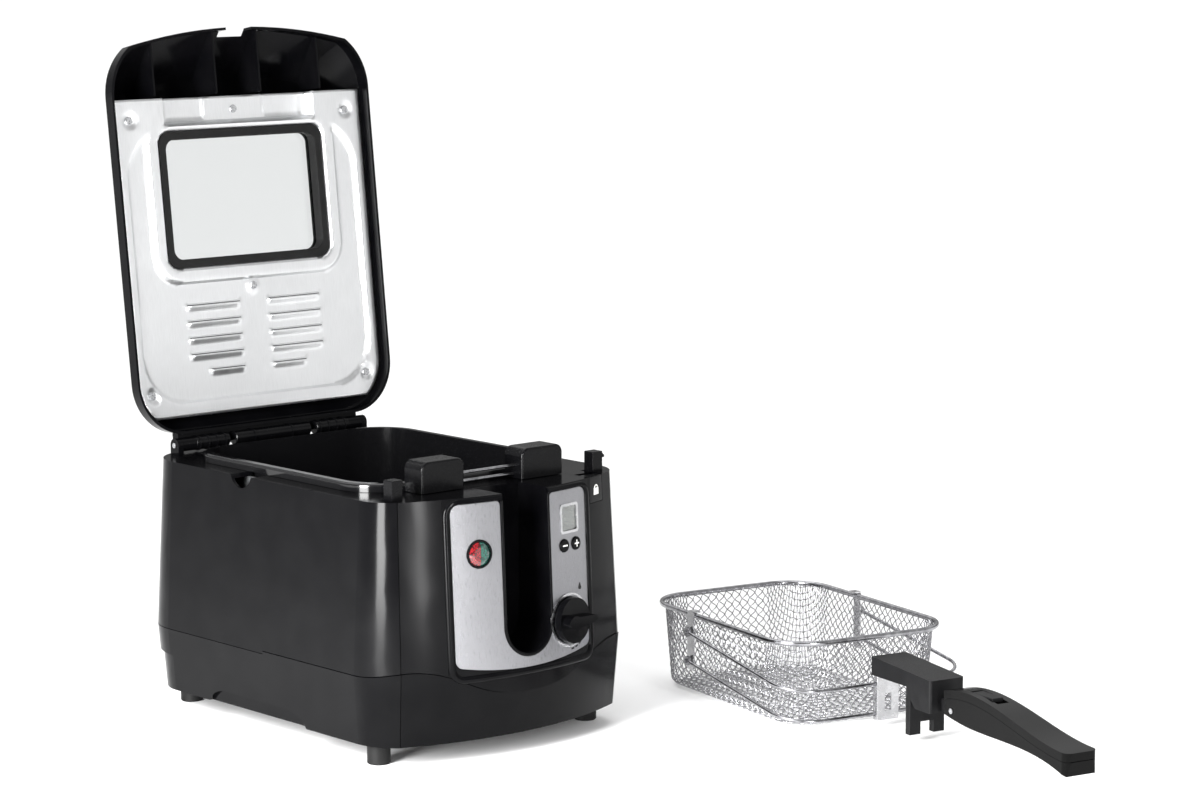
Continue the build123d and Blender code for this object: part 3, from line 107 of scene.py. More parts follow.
# %% [markdown]
# ## Camera and light
# A long lens from a little above keeps upright edges nearly parallel, as in a catalogue picture.
# Black gloss has almost no colour of its own: it is drawn by what it mirrors. So the room is pale,
# and tall soft panels stand where the rounded corners pick them up as smooth bright bands.

# %% Camera
CAMERA_AZIMUTH = math.radians(-42.3)
CAMERA_PITCH = math.radians(8.4)
camera_data = bpy.data.cameras.new("camera")
camera_data.lens = 103.5
camera_data.sensor_width = 36.0
camera_data.clip_end = 50
camera = bpy.data.objects.new("camera", camera_data)
camera.location = (-1.98255, -2.46979, 0.765)
back = Vector(
    (
        math.sin(CAMERA_AZIMUTH) * math.cos(CAMERA_PITCH),
        -math.cos(CAMERA_AZIMUTH) * math.cos(CAMERA_PITCH),
        math.sin(CAMERA_PITCH),
    )
)
camera.rotation_mode = "QUATERNION"
camera.rotation_quaternion = (-back).to_track_quat("-Z", "Y")
bpy.context.scene.collection.objects.link(camera)
bpy.context.scene.camera = camera
bpy.context.scene.view_settings.view_transform = "Standard"


# %% Nodes, colours and materials
def to_linear(hex_colour):
    """An sRGB colour such as "1A2B3C" as linear red, green, blue and alpha."""
    channels = [int(hex_colour[i : i + 2], 16) / 255 for i in (0, 2, 4)]
    linear = [c / 12.92 if c <= 0.04045 else ((c + 0.055) / 1.055) ** 2.4 for c in channels]
    return (*linear, 1.0)


def add_node(tree, kind, settings=None, values=None, links=None):
    """Adds one node. settings are its options, values its fixed inputs, links what feeds each input."""
    node = tree.nodes.new(kind)
    for name, value in (settings or {}).items():
        setattr(node, name, value)
    for name, value in (values or {}).items():
        node.inputs[name].default_value = value
    for name, source in (links or {}).items():
        tree.links.new(source, node.inputs[name])
    return node


def new_material(name, values):
    """A material with one main shader. Returns the material, its node tree, the shader and a position."""
    material = bpy.data.materials.new(name)
    material.use_nodes = True
    tree = material.node_tree
    shader = tree.nodes["Principled BSDF"]
    for socket, value in values.items():
        shader.inputs[socket].default_value = value
    place = add_node(tree, "ShaderNodeTexCoord").outputs["Object"]
    return material, tree, shader, place


def noise(tree, place, size_mm, detail=3.0, stretch=(1, 1, 1)):
    """Soft random mottling whose blobs are about size_mm across."""
    scaled = add_node(tree, "ShaderNodeMapping", values={"Scale": stretch}, links={"Vector": place})
    return add_node(
        tree,
        "ShaderNodeTexNoise",
        values={"Scale": 1 / (size_mm * MM), "Detail": detail},
        links={"Vector": scaled.outputs["Vector"]},
    ).outputs["Fac"]


def spread(tree, source, low, high):
    """Stretches a 0 to 1 value so that it runs from low to high."""
    return add_node(
        tree,
        "ShaderNodeMapRange",
        values={"From Min": 0.3, "From Max": 0.7, "To Min": low, "To Max": high},
        links={"Value": source},
    ).outputs["Result"]


def tint(tree, source, dark, light):
    """Colour that runs from dark to light with a value."""
    ramp = add_node(tree, "ShaderNodeValToRGB", links={"Fac": source})
    ramp.color_ramp.elements[0].position = 0.3
    ramp.color_ramp.elements[1].position = 0.7
    ramp.color_ramp.elements[0].color = to_linear(dark)
    ramp.color_ramp.elements[1].color = to_linear(light)
    return ramp.outputs["Color"]


def bump(tree, shader, source, height_mm, strength=1.0):
    """Makes a value look like relief height_mm high."""
    node = add_node(
        tree,
        "ShaderNodeBump",
        values={"Distance": height_mm * MM, "Strength": strength},
        links={"Height": source},
    )
    tree.links.new(node.outputs["Normal"], shader.inputs["Normal"])


# %% [markdown]
# ## Plastics
# The casing is ABS moulded in a polished tool: near black, mirror-like, with the faint waviness that
# thick plastic takes as it cools. The grips are phenolic resin and glass-filled nylon, which come out
# satin with a fine grain, because a spark-eroded tool hides flow marks.


# %% Plastics
def polished_abs(name, colour="030304", lighter="060607", roughness=0.13):
    """Glossy moulded ABS."""
    values = {"IOR": 1.5, "Specular IOR Level": 0.085, "Roughness": roughness}
    material, tree, shader, place = new_material(name, values)
    waves = noise(tree, place, 28, 1.5)
    tree.links.new(tint(tree, waves, colour, lighter), shader.inputs["Base Color"])
    polish = spread(tree, noise(tree, place, 60, 4), roughness, roughness + 0.05)
    tree.links.new(polish, shader.inputs["Roughness"])
    bump(tree, shader, waves, 0.02, 0.4)
    return material


def grained_plastic(name, colour, lighter, grain_mm=0.9, roughness=0.42, relief_mm=0.05):
    """Satin plastic with the grain of a spark-eroded tool, drawn coarser than the real 0.1 mm to show."""
    material, tree, shader, place = new_material(name, {"IOR": 1.5, "Specular IOR Level": 0.14})
    grain = noise(tree, place, grain_mm, 4)
    tree.links.new(tint(tree, noise(tree, place, 14, 5), colour, lighter), shader.inputs["Base Color"])
    tree.links.new(spread(tree, grain, roughness - 0.05, roughness + 0.08), shader.inputs["Roughness"])
    bump(tree, shader, grain, relief_mm, 0.5)
    return material


casing_abs = polished_abs("polished_black_abs")
grip_gloss = polished_abs("polished_black_nylon", "030303", "050505", 0.16)
resin_black = grained_plastic("satin_phenolic_resin", "040405", "070708", roughness=0.22, relief_mm=0.03)
nylon_black = grained_plastic("glass_filled_nylon", "0E0E0F", "151516", roughness=0.4)
foot_rubber = grained_plastic("moulded_foot_rubber", "121212", "1A1A1A", 1.4, 0.55)
seal_rubber = grained_plastic("silicone_seal", "0D0D0D", "131313", 1.2, 0.5)
white_ink = grained_plastic("white_printing_ink", "E4E4E0", "F2F2EE", 0.8, 0.5, 0.01)
dark_ink = grained_plastic("dark_printing_ink", "1A1A1A", "262626", 0.8, 0.5, 0.01)
lamp_housing = grained_plastic("white_polyamide", "C9C8C2", "D8D7D1", 1.0, 0.5)
board_resin = grained_plastic("green_circuit_board", "0E4A24", "15602F", 1.6, 0.4)
thermostat_grey = grained_plastic("grey_bakelite", "55534F", "66635E", 1.0, 0.5)
print("plastics ready")

# %% [markdown]
# ## Metals
# Brushed steel is drawn by its scratches: long thin streaks that all run one way, so noise is squeezed
# across the brushing and stretched along it. The liner is rolled aluminium, softly matt. Wire and
# screws are drawn and plated, so they mirror the room and only their small waves break it up.


# %% Metals
def brushed_metal(name, dark, light, along, streak_mm=0.5, roughness=0.3, relief_mm=0.02):
    """Metal brushed in one direction. along is a small number on the axis that the streaks follow."""
    material, tree, shader, place = new_material(name, {"Metallic": 1.0})
    streaks = noise(tree, place, streak_mm, 5, along)
    broad = noise(tree, place, 45, 2)
    both = add_node(
        tree, "ShaderNodeMix", {"data_type": "FLOAT"}, {"Factor": 0.35}, {"A": streaks, "B": broad}
    ).outputs["Result"]
    tree.links.new(tint(tree, both, dark, light), shader.inputs["Base Color"])
    tree.links.new(spread(tree, streaks, roughness - 0.06, roughness + 0.1), shader.inputs["Roughness"])
    bump(tree, shader, streaks, relief_mm, 0.35)
    return material


def plain_metal(name, dark, light, roughness, patch_mm=6.0, relief_mm=0.01):
    """Plated, rolled or cast metal with slight patches in its polish."""
    material, tree, shader, place = new_material(name, {"Metallic": 1.0})
    patches = noise(tree, place, patch_mm, 4)
    tree.links.new(tint(tree, patches, dark, light), shader.inputs["Base Color"])
    tree.links.new(spread(tree, patches, roughness * 0.8, roughness * 1.3), shader.inputs["Roughness"])
    bump(tree, shader, patches, relief_mm, 0.4)
    return material


UPRIGHT_STREAKS = (1, 1, 0.02)
SIDEWAYS_STREAKS = (1, 0.05, 0.05)
fascia_steel = brushed_metal(
    "brushed_stainless_steel", "8E8E91", "98989B", UPRIGHT_STREAKS, 0.35, 0.3, 0.004
)
liner_aluminium = brushed_metal(
    "rolled_aluminium", "DCDDDE", "E8E9EA", SIDEWAYS_STREAKS, 0.5, 0.34, 0.006
)
wire_chrome = plain_metal("nickel_plated_wire", "7C7C7F", "ABABAE", 0.2)
plate_steel = plain_metal("pressed_stainless_steel", "B4B4B6", "D0D0D2", 0.24)
screw_steel = plain_metal("zinc_plated_screw", "A7A8AA", "CBCCCE", 0.28, 2.0)
tank_steel = plain_metal("galvanised_sheet", "8D8F91", "B3B5B7", 0.4, 9.0)
heater_alloy = plain_metal("cast_aluminium", "8A8A8A", "A5A5A5", 0.5, 3.0, 0.05)
print("metals ready")

# %% [markdown]
# ## Enamel, glass and lamps
# The pan is enamelled: glass fused onto steel, so it is black, very smooth and slightly wavy.
# The window is clear toughened glass. The lamp has two coloured caps with a pattern of tiny facets
# behind them, which gives tinted plastic its sparkle.


# %% Enamel, glass, lamps and felt
def vitreous_enamel(name):
    """Black enamel with orange-peel waviness and sparse specks."""
    material, tree, shader, place = new_material(name, {"IOR": 1.52, "Roughness": 0.07})
    peel = noise(tree, place, 7, 2)
    specks = tint(tree, noise(tree, place, 1.5, 6), "070708", "0D0D0E")
    tree.links.new(specks, shader.inputs["Base Color"])
    tree.links.new(spread(tree, noise(tree, place, 30, 4), 0.06, 0.12), shader.inputs["Roughness"])
    bump(tree, shader, peel, 0.05, 0.35)
    return material


def clear_glass(name, colour, roughness=0.02):
    """Toughened glass with a trace of tint."""
    values = {"IOR": 1.5, "Transmission Weight": 1.0, "Roughness": roughness}
    values["Base Color"] = to_linear(colour)
    material, tree, shader, place = new_material(name, values)
    bump(tree, shader, noise(tree, place, 40, 2), 0.02, 0.2)
    return material


def tinted_lens(name, dark, light):
    """Tinted clear plastic over a bed of small facets."""
    values = {"IOR": 1.49, "Roughness": 0.12, "Coat Weight": 1.0, "Coat Roughness": 0.03}
    material, tree, shader, place = new_material(name, values)
    facets = add_node(
        tree, "ShaderNodeTexVoronoi", values={"Scale": 1 / (1.6 * MM)}, links={"Vector": place}
    ).outputs["Distance"]
    tree.links.new(tint(tree, facets, light, dark), shader.inputs["Base Color"])
    bump(tree, shader, facets, 0.3, 0.25)
    return material


def liquid_crystal(name):
    """The grey pane of a switched-off display, with faint segment rows."""
    material, tree, shader, place = new_material(name, {"IOR": 1.5, "Roughness": 0.25})
    rows = noise(tree, place, 3.0, 1, (1, 1, 2.5))
    tree.links.new(tint(tree, rows, "8B8F8C", "9DA19E"), shader.inputs["Base Color"])
    tree.links.new(spread(tree, rows, 0.2, 0.3), shader.inputs["Roughness"])
    return material


def felt(name):
    """Grey filter felt: fibres in every direction."""
    material, tree, shader, place = new_material(name, {"Roughness": 0.95, "Specular IOR Level": 0.1})
    fibres = noise(tree, place, 0.8, 8, (1, 0.4, 1))
    tree.links.new(tint(tree, fibres, "3B3B3A", "6A6A68"), shader.inputs["Base Color"])
    bump(tree, shader, fibres, 0.4, 0.7)
    return material


pan_enamel = vitreous_enamel("black_vitreous_enamel")
window_glass = clear_glass("toughened_glass", "E2E4E4")
display_cover = clear_glass("acrylic_display_cover", "F6F6F6", 0.03)
red_lens = tinted_lens("red_polycarbonate", "2C0306", "6E0E14")
green_lens = tinted_lens("green_polycarbonate", "03241F", "0B4A3E")
display_pane = liquid_crystal("liquid_crystal_pane")
filter_felt = felt("filter_felt")
print("materials in all:", len(bpy.data.materials))

# %% [markdown]
# ## Finishes for the CAD parts
# Each part keeps its exact CAD shape and only takes a material. Real moulded edges are never perfectly
# sharp, and a thin rounded edge is what catches the light, so the bigger parts get a small bevel
# modifier. The weld modifier before it joins the triangles' doubled corners so that the bevel works.

# %% Dress the CAD parts
finishes = {
    casing_abs: [
        "housing",
        "front_bezel",
        "base",
        "lid_shell",
        "temperature_knob",
        "button_minus",
        "button_plus",
    ],
    fascia_steel: ["control_fascia"],
    foot_rubber: ["foot_front_left", "foot_front_right", "foot_rear_left", "foot_rear_right"],
    screw_steel: ["base_screws", "lid_screws", "knob_shaft", "hinge_pins", "heater_tube", "grip_pin"],
    resin_black: [
        "indicator_ring",
        "release_button",
        "latch_bar",
        "pan_grip_left",
        "pan_grip_right",
        "cord_gland",
    ],
    red_lens: ["lens_red"],
    green_lens: ["lens_green"],
    lamp_housing: ["indicator_lamp"],
    display_cover: ["display_window"],
    display_pane: ["display_module"],
    board_resin: ["control_board"],
    thermostat_grey: ["thermostat"],
    pan_enamel: ["pan"],
    wire_chrome: [
        "basket_rest_wires",
        "basket_rim",
        "basket_rivets",
        "cradle_wire_upper",
        "cradle_wire_lower",
    ],
    plate_steel: ["basket_bracket_left", "basket_bracket_right", "handle_channel"],
    tank_steel: ["inner_tank"],
    heater_alloy: ["heater_plate"],
    seal_rubber: ["window_frame"],
    window_glass: ["window_glass"],
    filter_felt: ["odour_filter"],
    nylon_black: ["handle_base", "handle_slider"],
    grip_gloss: ["grip_lower", "grip_upper"],
}
edge_rounding_mm = {
    "housing": 1.6,
    "base": 1.0,
    "front_bezel": 0.8,
    "control_fascia": 0.3,
    "lid_shell": 1.0,
    "temperature_knob": 0.7,
    "pan_grip_left": 1.5,
    "pan_grip_right": 1.5,
    "release_button": 0.6,
    "latch_bar": 0.5,
    "handle_base": 1.0,
    "grip_lower": 3.0,
    "grip_upper": 5.0,
    "handle_slider": 0.5,
    "handle_channel": 0.3,
    "window_frame": 0.6,
    "foot_front_left": 0.6,
    "foot_front_right": 0.6,
    "foot_rear_left": 0.6,
    "foot_rear_right": 0.6,
}


def round_edges(piece, width_mm):
    """Rounds the sharp edges of a piece by width_mm."""
    weld = piece.modifiers.new("join_corners", "WELD")
    weld.merge_threshold = 0.005 * MM
    bevel = piece.modifiers.new("round_edges", "BEVEL")
    bevel.width = width_mm * MM
    bevel.segments = 2
    bevel.limit_method = "ANGLE"
    bevel.angle_limit = math.radians(38)
    even = piece.modifiers.new("even_shading", "WEIGHTED_NORMAL")
    even.keep_sharp = True


for material, names in finishes.items():
    for name in names:
        nodes[name].data.materials.clear()
        nodes[name].data.materials.append(material)
for name, width in edge_rounding_mm.items():
    round_edges(nodes[name], width)
print("parts with rounded edges:", len(edge_rounding_mm))


# %% [markdown]
# ## The pressed liner
# The liner under the lid is one aluminium sheet shaped in a press. We lay out a grid of points over its
# outline and give each point a height: a raised flange round the edge and round the window, a sunken
# tray between them, two pads that clear the pan's grips, and scooped steam louvres. A thin solidify
# modifier turns the sheet into metal of real thickness.


# %% Mesh helpers
def new_piece(name, points, faces, material, smooth_angle=32):
    """A mesh object made from points in metres and lists of point numbers."""
    mesh = bpy.data.meshes.new(name)
    mesh.from_pydata(points, [], faces)
    mesh.polygons.foreach_set("use_smooth", [True] * len(mesh.polygons))
    mesh.set_sharp_from_angle(angle=math.radians(smooth_angle))
    mesh.materials.append(material)
    piece = bpy.data.objects.new(name, mesh)
    bpy.context.scene.collection.objects.link(piece)
    return piece


def ramp(value, start, end):
    """0 before start, 1 after end, and a smooth rise between them."""
    t = min(1.0, max(0.0, (value - start) / (end - start)))
    return t * t * (3 - 2 * t)


def rounded_box_distance(x, y, half_x, half_y, radius):
    """Distance to the edge of a rounded rectangle: negative inside, positive outside."""
    dx, dy = abs(x) - half_x + radius, abs(y) - half_y + radius
    outside = math.hypot(max(dx, 0), max(dy, 0))
    return outside + min(max(dx, dy), 0) - radius


# %% Pressed liner
FLANGE_H, TRAY_H, PAD_H, POCKET_H = 5.6, 9.1, 16.6, 17.9
LOUVRE_ROWS = [(128.0 - 15.6 * row, 42.0 if row == 4 else 64.0) for row in range(5)]
WINDOW_ALONG = 231.0
WINDOW_HALF_X, WINDOW_HALF_Y, WINDOW_R = 96.3, 64.8, 12.5
SNAP_REACH = 1.7
SCREW_SEATS = [(128, 48), (-128, 48), (128, 308), (-128, 308), (0, 144)]
SHEET_START, SHEET_END, SHEET_STEP, SHEET_ROWS = 25.3, 327.7, 2.5, 121


def liner_half_width(along):
    """Half the liner's width at a place along the lid, with its round rear corners."""
    if along < 62.6:
        return 98.2 + math.sqrt(47.2**2 - (62.6 - along) ** 2)
    return 145.4 + (along - 62.6) * 0.0038


def louvre_lift(x, along):
    """How far a steam louvre's lip stands out of the sheet here."""
    for middle, length in LOUVRE_ROWS:
        side = 1 - ramp(abs(abs(x) - 16 - length / 2), length / 2 - 3, length / 2)
        if side > 0 and middle - 6.0 <= along <= middle + 2.6:
            return 2.5 * side * ramp(along, middle - 6.0, middle + 2.2)
    return 0.0


def liner_height(x, along):
    """The sheet's height at a place on the lid."""
    tray = rounded_box_distance(x, along - 168.5, 136, 131, 48)
    height = FLANGE_H + (TRAY_H - FLANGE_H) * (1 - ramp(tray, -3.5, 0.5))
    window = rounded_box_distance(x, along - WINDOW_ALONG, 96.5, 65, 13)
    height = FLANGE_H + (height - FLANGE_H) * ramp(window, 12.5, 16)
    height += (8.6 - height) * (1 - ramp(window, 0.0, 2.6))
    pad = min(89.0 - abs(x), along - 302.0)
    height += (PAD_H - height) * ramp(pad, 0, 2.5)
    pocket = min(along - 305.5, 81.0 - abs(x), abs(x) - 36.0)
    height += (POCKET_H - PAD_H) * ramp(pocket, 0, 1.5)
    for screw_x, screw_along in SCREW_SEATS:
        seat = math.hypot(x - screw_x, along - screw_along)
        height += (7.6 - height) * (1 - ramp(seat, 5.5, 8.5))
    return height - louvre_lift(x, along)


rows = [SHEET_START + SHEET_STEP * i for i in range(SHEET_ROWS)] + [SHEET_END]
for middle, length in LOUVRE_ROWS:
    rows = [r for r in rows if not middle - 6.5 < r < middle + 5]
    rows += [middle - 6 + step for step in (0, 1.6, 3.2, 4.8, 6.4, 7.7, 8.5, 9.6)]
rows.sort()
columns = [i / 118 for i in range(-118, 119, 2)]


def window_edge(x, along):
    """Distance to the edge of the window opening: negative inside it."""
    return rounded_box_distance(x, along - WINDOW_ALONG, WINDOW_HALF_X, WINDOW_HALF_Y, WINDOW_R)


def snap_to_window(x, along):
    """Moves a grid point that lies near the window opening exactly onto its edge."""
    gap = window_edge(x, along)
    if abs(gap) > SNAP_REACH:
        return x, along
    slope_x = window_edge(x + 0.01, along) - gap
    slope_y = window_edge(x, along + 0.01) - gap
    steep = math.hypot(slope_x, slope_y)
    return x - gap * slope_x / steep, along - gap * slope_y / steep


spots = [snap_to_window(t * liner_half_width(r), r) for r in rows for t in columns]
edge_turn = [1.2 if abs(t) == 1 else 0 for r in rows for t in columns]
points = [on_lid(x, r, liner_height(x, r) + turn) for (x, r), turn in zip(spots, edge_turn)]
faces = []
for j in range(len(rows) - 1):
    for i in range(len(columns) - 1):
        first = j * len(columns) + i
        corners = (first, first + 1, first + len(columns) + 1, first + len(columns))
        x = sum(spots[corner][0] for corner in corners) / 4
        along = sum(spots[corner][1] for corner in corners) / 4
        in_window = window_edge(x, along) < 0
        in_slot = any(
            middle + 1.8 < along < middle + 2.6 and abs(abs(x) - 16 - length / 2) < length / 2 - 2
            for middle, length in LOUVRE_ROWS
        )
        if not in_window and not in_slot:
            faces.append(corners)
liner = new_piece("pressed_liner", points, faces, liner_aluminium, 40)
sheet = liner.modifiers.new("sheet_thickness", "SOLIDIFY")
sheet.thickness = 0.35 * MM
sheet.offset = 0
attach(liner, "lid")
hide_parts("lid_liner")
print("liner points:", len(points))

# %% [markdown]
# ## The woven basket
# The bowl is woven wire cloth, cut on the bias and drawn into shape in a press. We do the same: start
# with a flat cloth of crossing wires at 45 degrees, then wrap each wire over the bowl. A point inside
# the flat bottom stays flat. A point beyond it is folded up the nearest wall by the same distance.
# Each wire also waves over and under its neighbours, half a wire's thickness each way.

# %% Woven basket
CLOTH_PITCH = 6.4
WIRE_R = 0.5
WIRE_SIDES = 5
BEND_R = 9.0
FLAT_HALF_X, FLAT_HALF_Y, FLAT_R = 76.0, 111.0, 30.0
WALL_LEAN = math.atan(7 / 84)
CLOTH_TOP = 82.0


def on_bowl(x, y):
    """Wraps a place on the flat cloth onto the bowl. Returns the place in mm and the outward normal."""
    core_x, core_y = FLAT_HALF_X - FLAT_R, FLAT_HALF_Y - FLAT_R
    dx, dy = abs(x) - core_x, abs(y) - core_y
    if dx > 0 and dy > 0:
        far = math.hypot(dx, dy)
        out_x, out_y = dx / far, dy / far
        beyond = far - FLAT_R
    elif dx - (FLAT_HALF_X - core_x) > dy - (FLAT_HALF_Y - core_y):
        out_x, out_y, beyond = 1.0, 0.0, dx - FLAT_R
    else:
        out_x, out_y, beyond = 0.0, 1.0, dy - FLAT_R
    out = Vector((math.copysign(out_x, x), math.copysign(out_y, y), 0))
    if beyond <= 0:
        return Vector((x, y, 1.6)), Vector((0, 0, -1))
    edge = Vector((x, y, 0)) - out * beyond
    turned = min(beyond / BEND_R, math.pi / 2 - WALL_LEAN)
    normal = out * math.sin(turned) - Vector((0, 0, math.cos(turned)))
    place = edge + Vector((0, 0, 1.6 + BEND_R)) + normal * BEND_R
    climb = beyond - turned * BEND_R
    return place + (out * math.sin(WALL_LEAN) + Vector((0, 0, math.cos(WALL_LEAN)))) * climb, normal


def weave_run(family, index, points, faces):
    """One wire of the cloth: family +1 or -1 sets its slant, index its place in the row."""
    run, runs = [], []
    steps = int(560 / (CLOTH_PITCH / 3))
    for k in range(steps + 1):
        along = -280 + k * CLOTH_PITCH / 3
        offset = (index + 0.5) * CLOTH_PITCH + 0.5 * math.sin(math.pi * (along / CLOTH_PITCH + index))
        x = (along - family * offset) / math.sqrt(2)
        y = (family * along + offset) / math.sqrt(2)
        place, normal = on_bowl(x, y)
        if place.z > CLOTH_TOP:
            if len(run) > 2:
                runs.append(run)
            run = []
            continue
        wave = math.cos(math.pi * (along / CLOTH_PITCH + index)) * family
        run.append((place - normal * (WIRE_R * 1.2 - WIRE_R * 0.9 * wave), normal))
    if len(run) > 2:
        runs.append(run)
    for run in runs:
        first = len(points)
        for n, (place, normal) in enumerate(run):
            ahead = (run[min(n + 1, len(run) - 1)][0] - run[max(n - 1, 0)][0]).normalized()
            side = ahead.cross(normal).normalized()
            for corner in range(WIRE_SIDES):
                angle = 2 * math.pi * corner / WIRE_SIDES
                ring = side * math.cos(angle) + side.cross(ahead) * math.sin(angle)
                at = place + ring * WIRE_R
                points.append(on_basket(at.x, at.y, at.z))
        for n in range(len(run) - 1):
            start = first + n * WIRE_SIDES
            for corner in range(WIRE_SIDES):
                a, b = start + corner, start + (corner + 1) % WIRE_SIDES
                faces.append((a, b, b + WIRE_SIDES, a + WIRE_SIDES))
        faces.append(tuple(first + corner for corner in reversed(range(WIRE_SIDES))))
        last = first + (len(run) - 1) * WIRE_SIDES
        faces.append(tuple(last + corner for corner in range(WIRE_SIDES)))


points, faces = [], []
for family in (1, -1):
    for index in range(-42, 42):
        weave_run(family, index, points, faces)
cloth = new_piece("woven_basket", points, faces, wire_chrome, 80)
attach(cloth, "basket")
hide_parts("basket_mesh")
print("basket cloth points:", len(points))

# %% [markdown]
# ## Marks and small trims
# Printed symbols are thin raised ink, and a thin steel ring edges the knob. Each is a flat outline pushed
# out of the surface it sits on, so it follows the bow of the front panel.


# %% Printed marks on the front
def front_prism(name, outline, low, high, material, hole=None):
    """A flat shape on the front panel between two heights. outline and hole are lists of (x, z) in mm."""
    ring = len(outline)
    points = [on_front(x, z, proud) for proud in (high, low) for x, z in outline]
    faces = []
    if hole:
        points += [on_front(x, z, proud) for proud in (high, low) for x, z in hole]
        for i in range(ring):
            j = (i + 1) % ring
            faces.append((i, j, 2 * ring + j, 2 * ring + i))
            faces.append((2 * ring + i, 2 * ring + j, 3 * ring + j, 3 * ring + i))
    else:
        faces.append(tuple(range(ring)))
    for i in range(ring):
        j = (i + 1) % ring
        faces.append((j, i, ring + i, ring + j))
    return new_piece(name, points, faces, material)


def box_outline(x, z, width, height, radius=0.0, steps=5):
    """Corners of a rectangle, rounded if radius is given."""
    if radius == 0:
        return [
            (x - width / 2, z - height / 2),
            (x + width / 2, z - height / 2),
            (x + width / 2, z + height / 2),
            (x - width / 2, z + height / 2),
        ]
    outline = []
    for turn, (sx, sz) in enumerate(((1, -1), (1, 1), (-1, 1), (-1, -1))):
        for step in range(steps + 1):
            angle = math.radians(-90 + 90 * turn + 90 * step / steps)
            cx, cz = x + sx * (width / 2 - radius), z + sz * (height / 2 - radius)
            outline.append((cx + radius * math.cos(angle), cz + radius * math.sin(angle)))
    return outline


def arc_outline(x, z, inner, outer, start, end, steps=24):
    """A band of a circle between two angles in degrees, 0 to the right and 90 up."""
    angles = [math.radians(start + (end - start) * i / steps) for i in range(steps + 1)]
    rim = [(x + outer * math.cos(a), z + outer * math.sin(a)) for a in angles]
    return rim + [(x + inner * math.cos(a), z + inner * math.sin(a)) for a in reversed(angles)]


MARK_LENGTH, MARK_WIDTH = 6.4, 1.3
KNOB_X, KNOB_Z = 50.0, 114.0
CONTROLS_X, BUTTON_Z, BUTTON_GAP, DISPLAY_Z = 55.0, 182.0, 16.6, 206.0
DROP_X, DROP_Z = 67.0, 141.0
LOCK_X, LOCK_Z = 99.0, 224.0
RING_INNER_R, RING_OUTER_R, RING_H = 22.8, 24.6, 1.6
DASH_INNER_R, DASH_OUTER_R = 26.2, 27.6
INK_H = 0.7
marks = []
for sign in (-1, 1):
    x = CONTROLS_X + sign * BUTTON_GAP / 2
    bar = front_prism("mark_bar", box_outline(x, BUTTON_Z, MARK_LENGTH, MARK_WIDTH), 1.3, 1.75, white_ink)
    marks.append((bar, "minus_button" if sign < 0 else "plus_button"))
upright_outline = box_outline(CONTROLS_X + BUTTON_GAP / 2, BUTTON_Z, MARK_WIDTH, MARK_LENGTH)
upright = front_prism("mark_upright", upright_outline, 1.3, 1.76, white_ink)
marks.append((upright, "plus_button"))
frame_ring = front_prism(
    "display_frame",
    box_outline(CONTROLS_X, DISPLAY_Z, 25, 27, 3.0),
    0.0,
    0.9,
    plate_steel,
    box_outline(CONTROLS_X, DISPLAY_Z, 20.2, 22.2, 1.6),
)
marks.append((frame_ring, "fryer"))
ring_outline = arc_outline(KNOB_X, KNOB_Z, RING_INNER_R, RING_OUTER_R, -178, 178, 72)
dial = front_prism("dial_ring", ring_outline, 0.0, RING_H, plate_steel)
marks.append((dial, "fryer"))
for angle in range(-82, 0, 12):
    dash = arc_outline(KNOB_X, KNOB_Z, DASH_INNER_R, DASH_OUTER_R, angle - 3.4, angle + 3.4, 4)
    marks.append((front_prism("dial_dash", dash, 0.0, INK_H, dark_ink), "fryer"))
drop = arc_outline(DROP_X, DROP_Z, 0.0, 1.7, -215, 35, 14)[:15] + [(DROP_X, DROP_Z + 4.4)]
marks.append((front_prism("drop_mark", drop, 0.0, INK_H, dark_ink), "fryer"))
lock_body = front_prism("lock_body", box_outline(LOCK_X, LOCK_Z, 8.0, 6.2), 0.0, 0.25, white_ink)
lock_bow = front_prism(
    "lock_bow", arc_outline(LOCK_X, LOCK_Z + 3.0, 2.0, 3.2, -5, 185, 12), 0.0, 0.25, white_ink
)
marks += [(lock_body, "release"), (lock_bow, "release")]
for mark, body in marks:
    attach(mark, body)
print("printed marks:", len(marks))


# %% [markdown]
# ## Raised lips round the panel
# A rounded black lip frames the metal panel, and a thinner one edges the handle slot. Both are open at
# the top, so each is one cross-section carried along a U-shaped path: down one side, round two corners
# with the bottom between them, and up the other side.


# %% Raised lips
FASCIA_HALF, FASCIA_TOP, FASCIA_LOW, FASCIA_R = 79.0, 232.0, 80.0, 8.0
SLOT_HALF, SLOT_LOW = 26.0, 92.0


def arc_steps(x, z, radius, start, end, steps=8):
    """Points along part of a circle, both ends included."""
    angles = [math.radians(start + (end - start) * i / steps) for i in range(steps + 1)]
    return [(x + radius * math.cos(a), z + radius * math.sin(a)) for a in angles]


def straight_steps(start, end, steps):
    """Points between two places, both ends left out."""
    spots = [i / steps for i in range(1, steps)]
    return [(start[0] + (end[0] - start[0]) * t, start[1] + (end[1] - start[1]) * t) for t in spots]


def panel_path(out):
    """The U round the metal panel, with its two short returns along the top, out mm outside it."""
    half, low, top, corner = FASCIA_HALF + out, FASCIA_LOW - out, FASCIA_TOP + out * 0.75, FASCIA_R + out
    left = [(-SLOT_HALF - 1.0, top)] + straight_steps((-SLOT_HALF, top), (corner - half, top), 10)
    left += arc_steps(corner - half, top - corner, corner, 90, 180)
    left += straight_steps((-half, top - corner), (-half, low + corner), 12)
    left += arc_steps(corner - half, low + corner, corner, 180, 270)
    bottom = straight_steps((corner - half, low), (half - corner, low), 36)
    return left + bottom + [(-x, z) for x, z in reversed(left)]


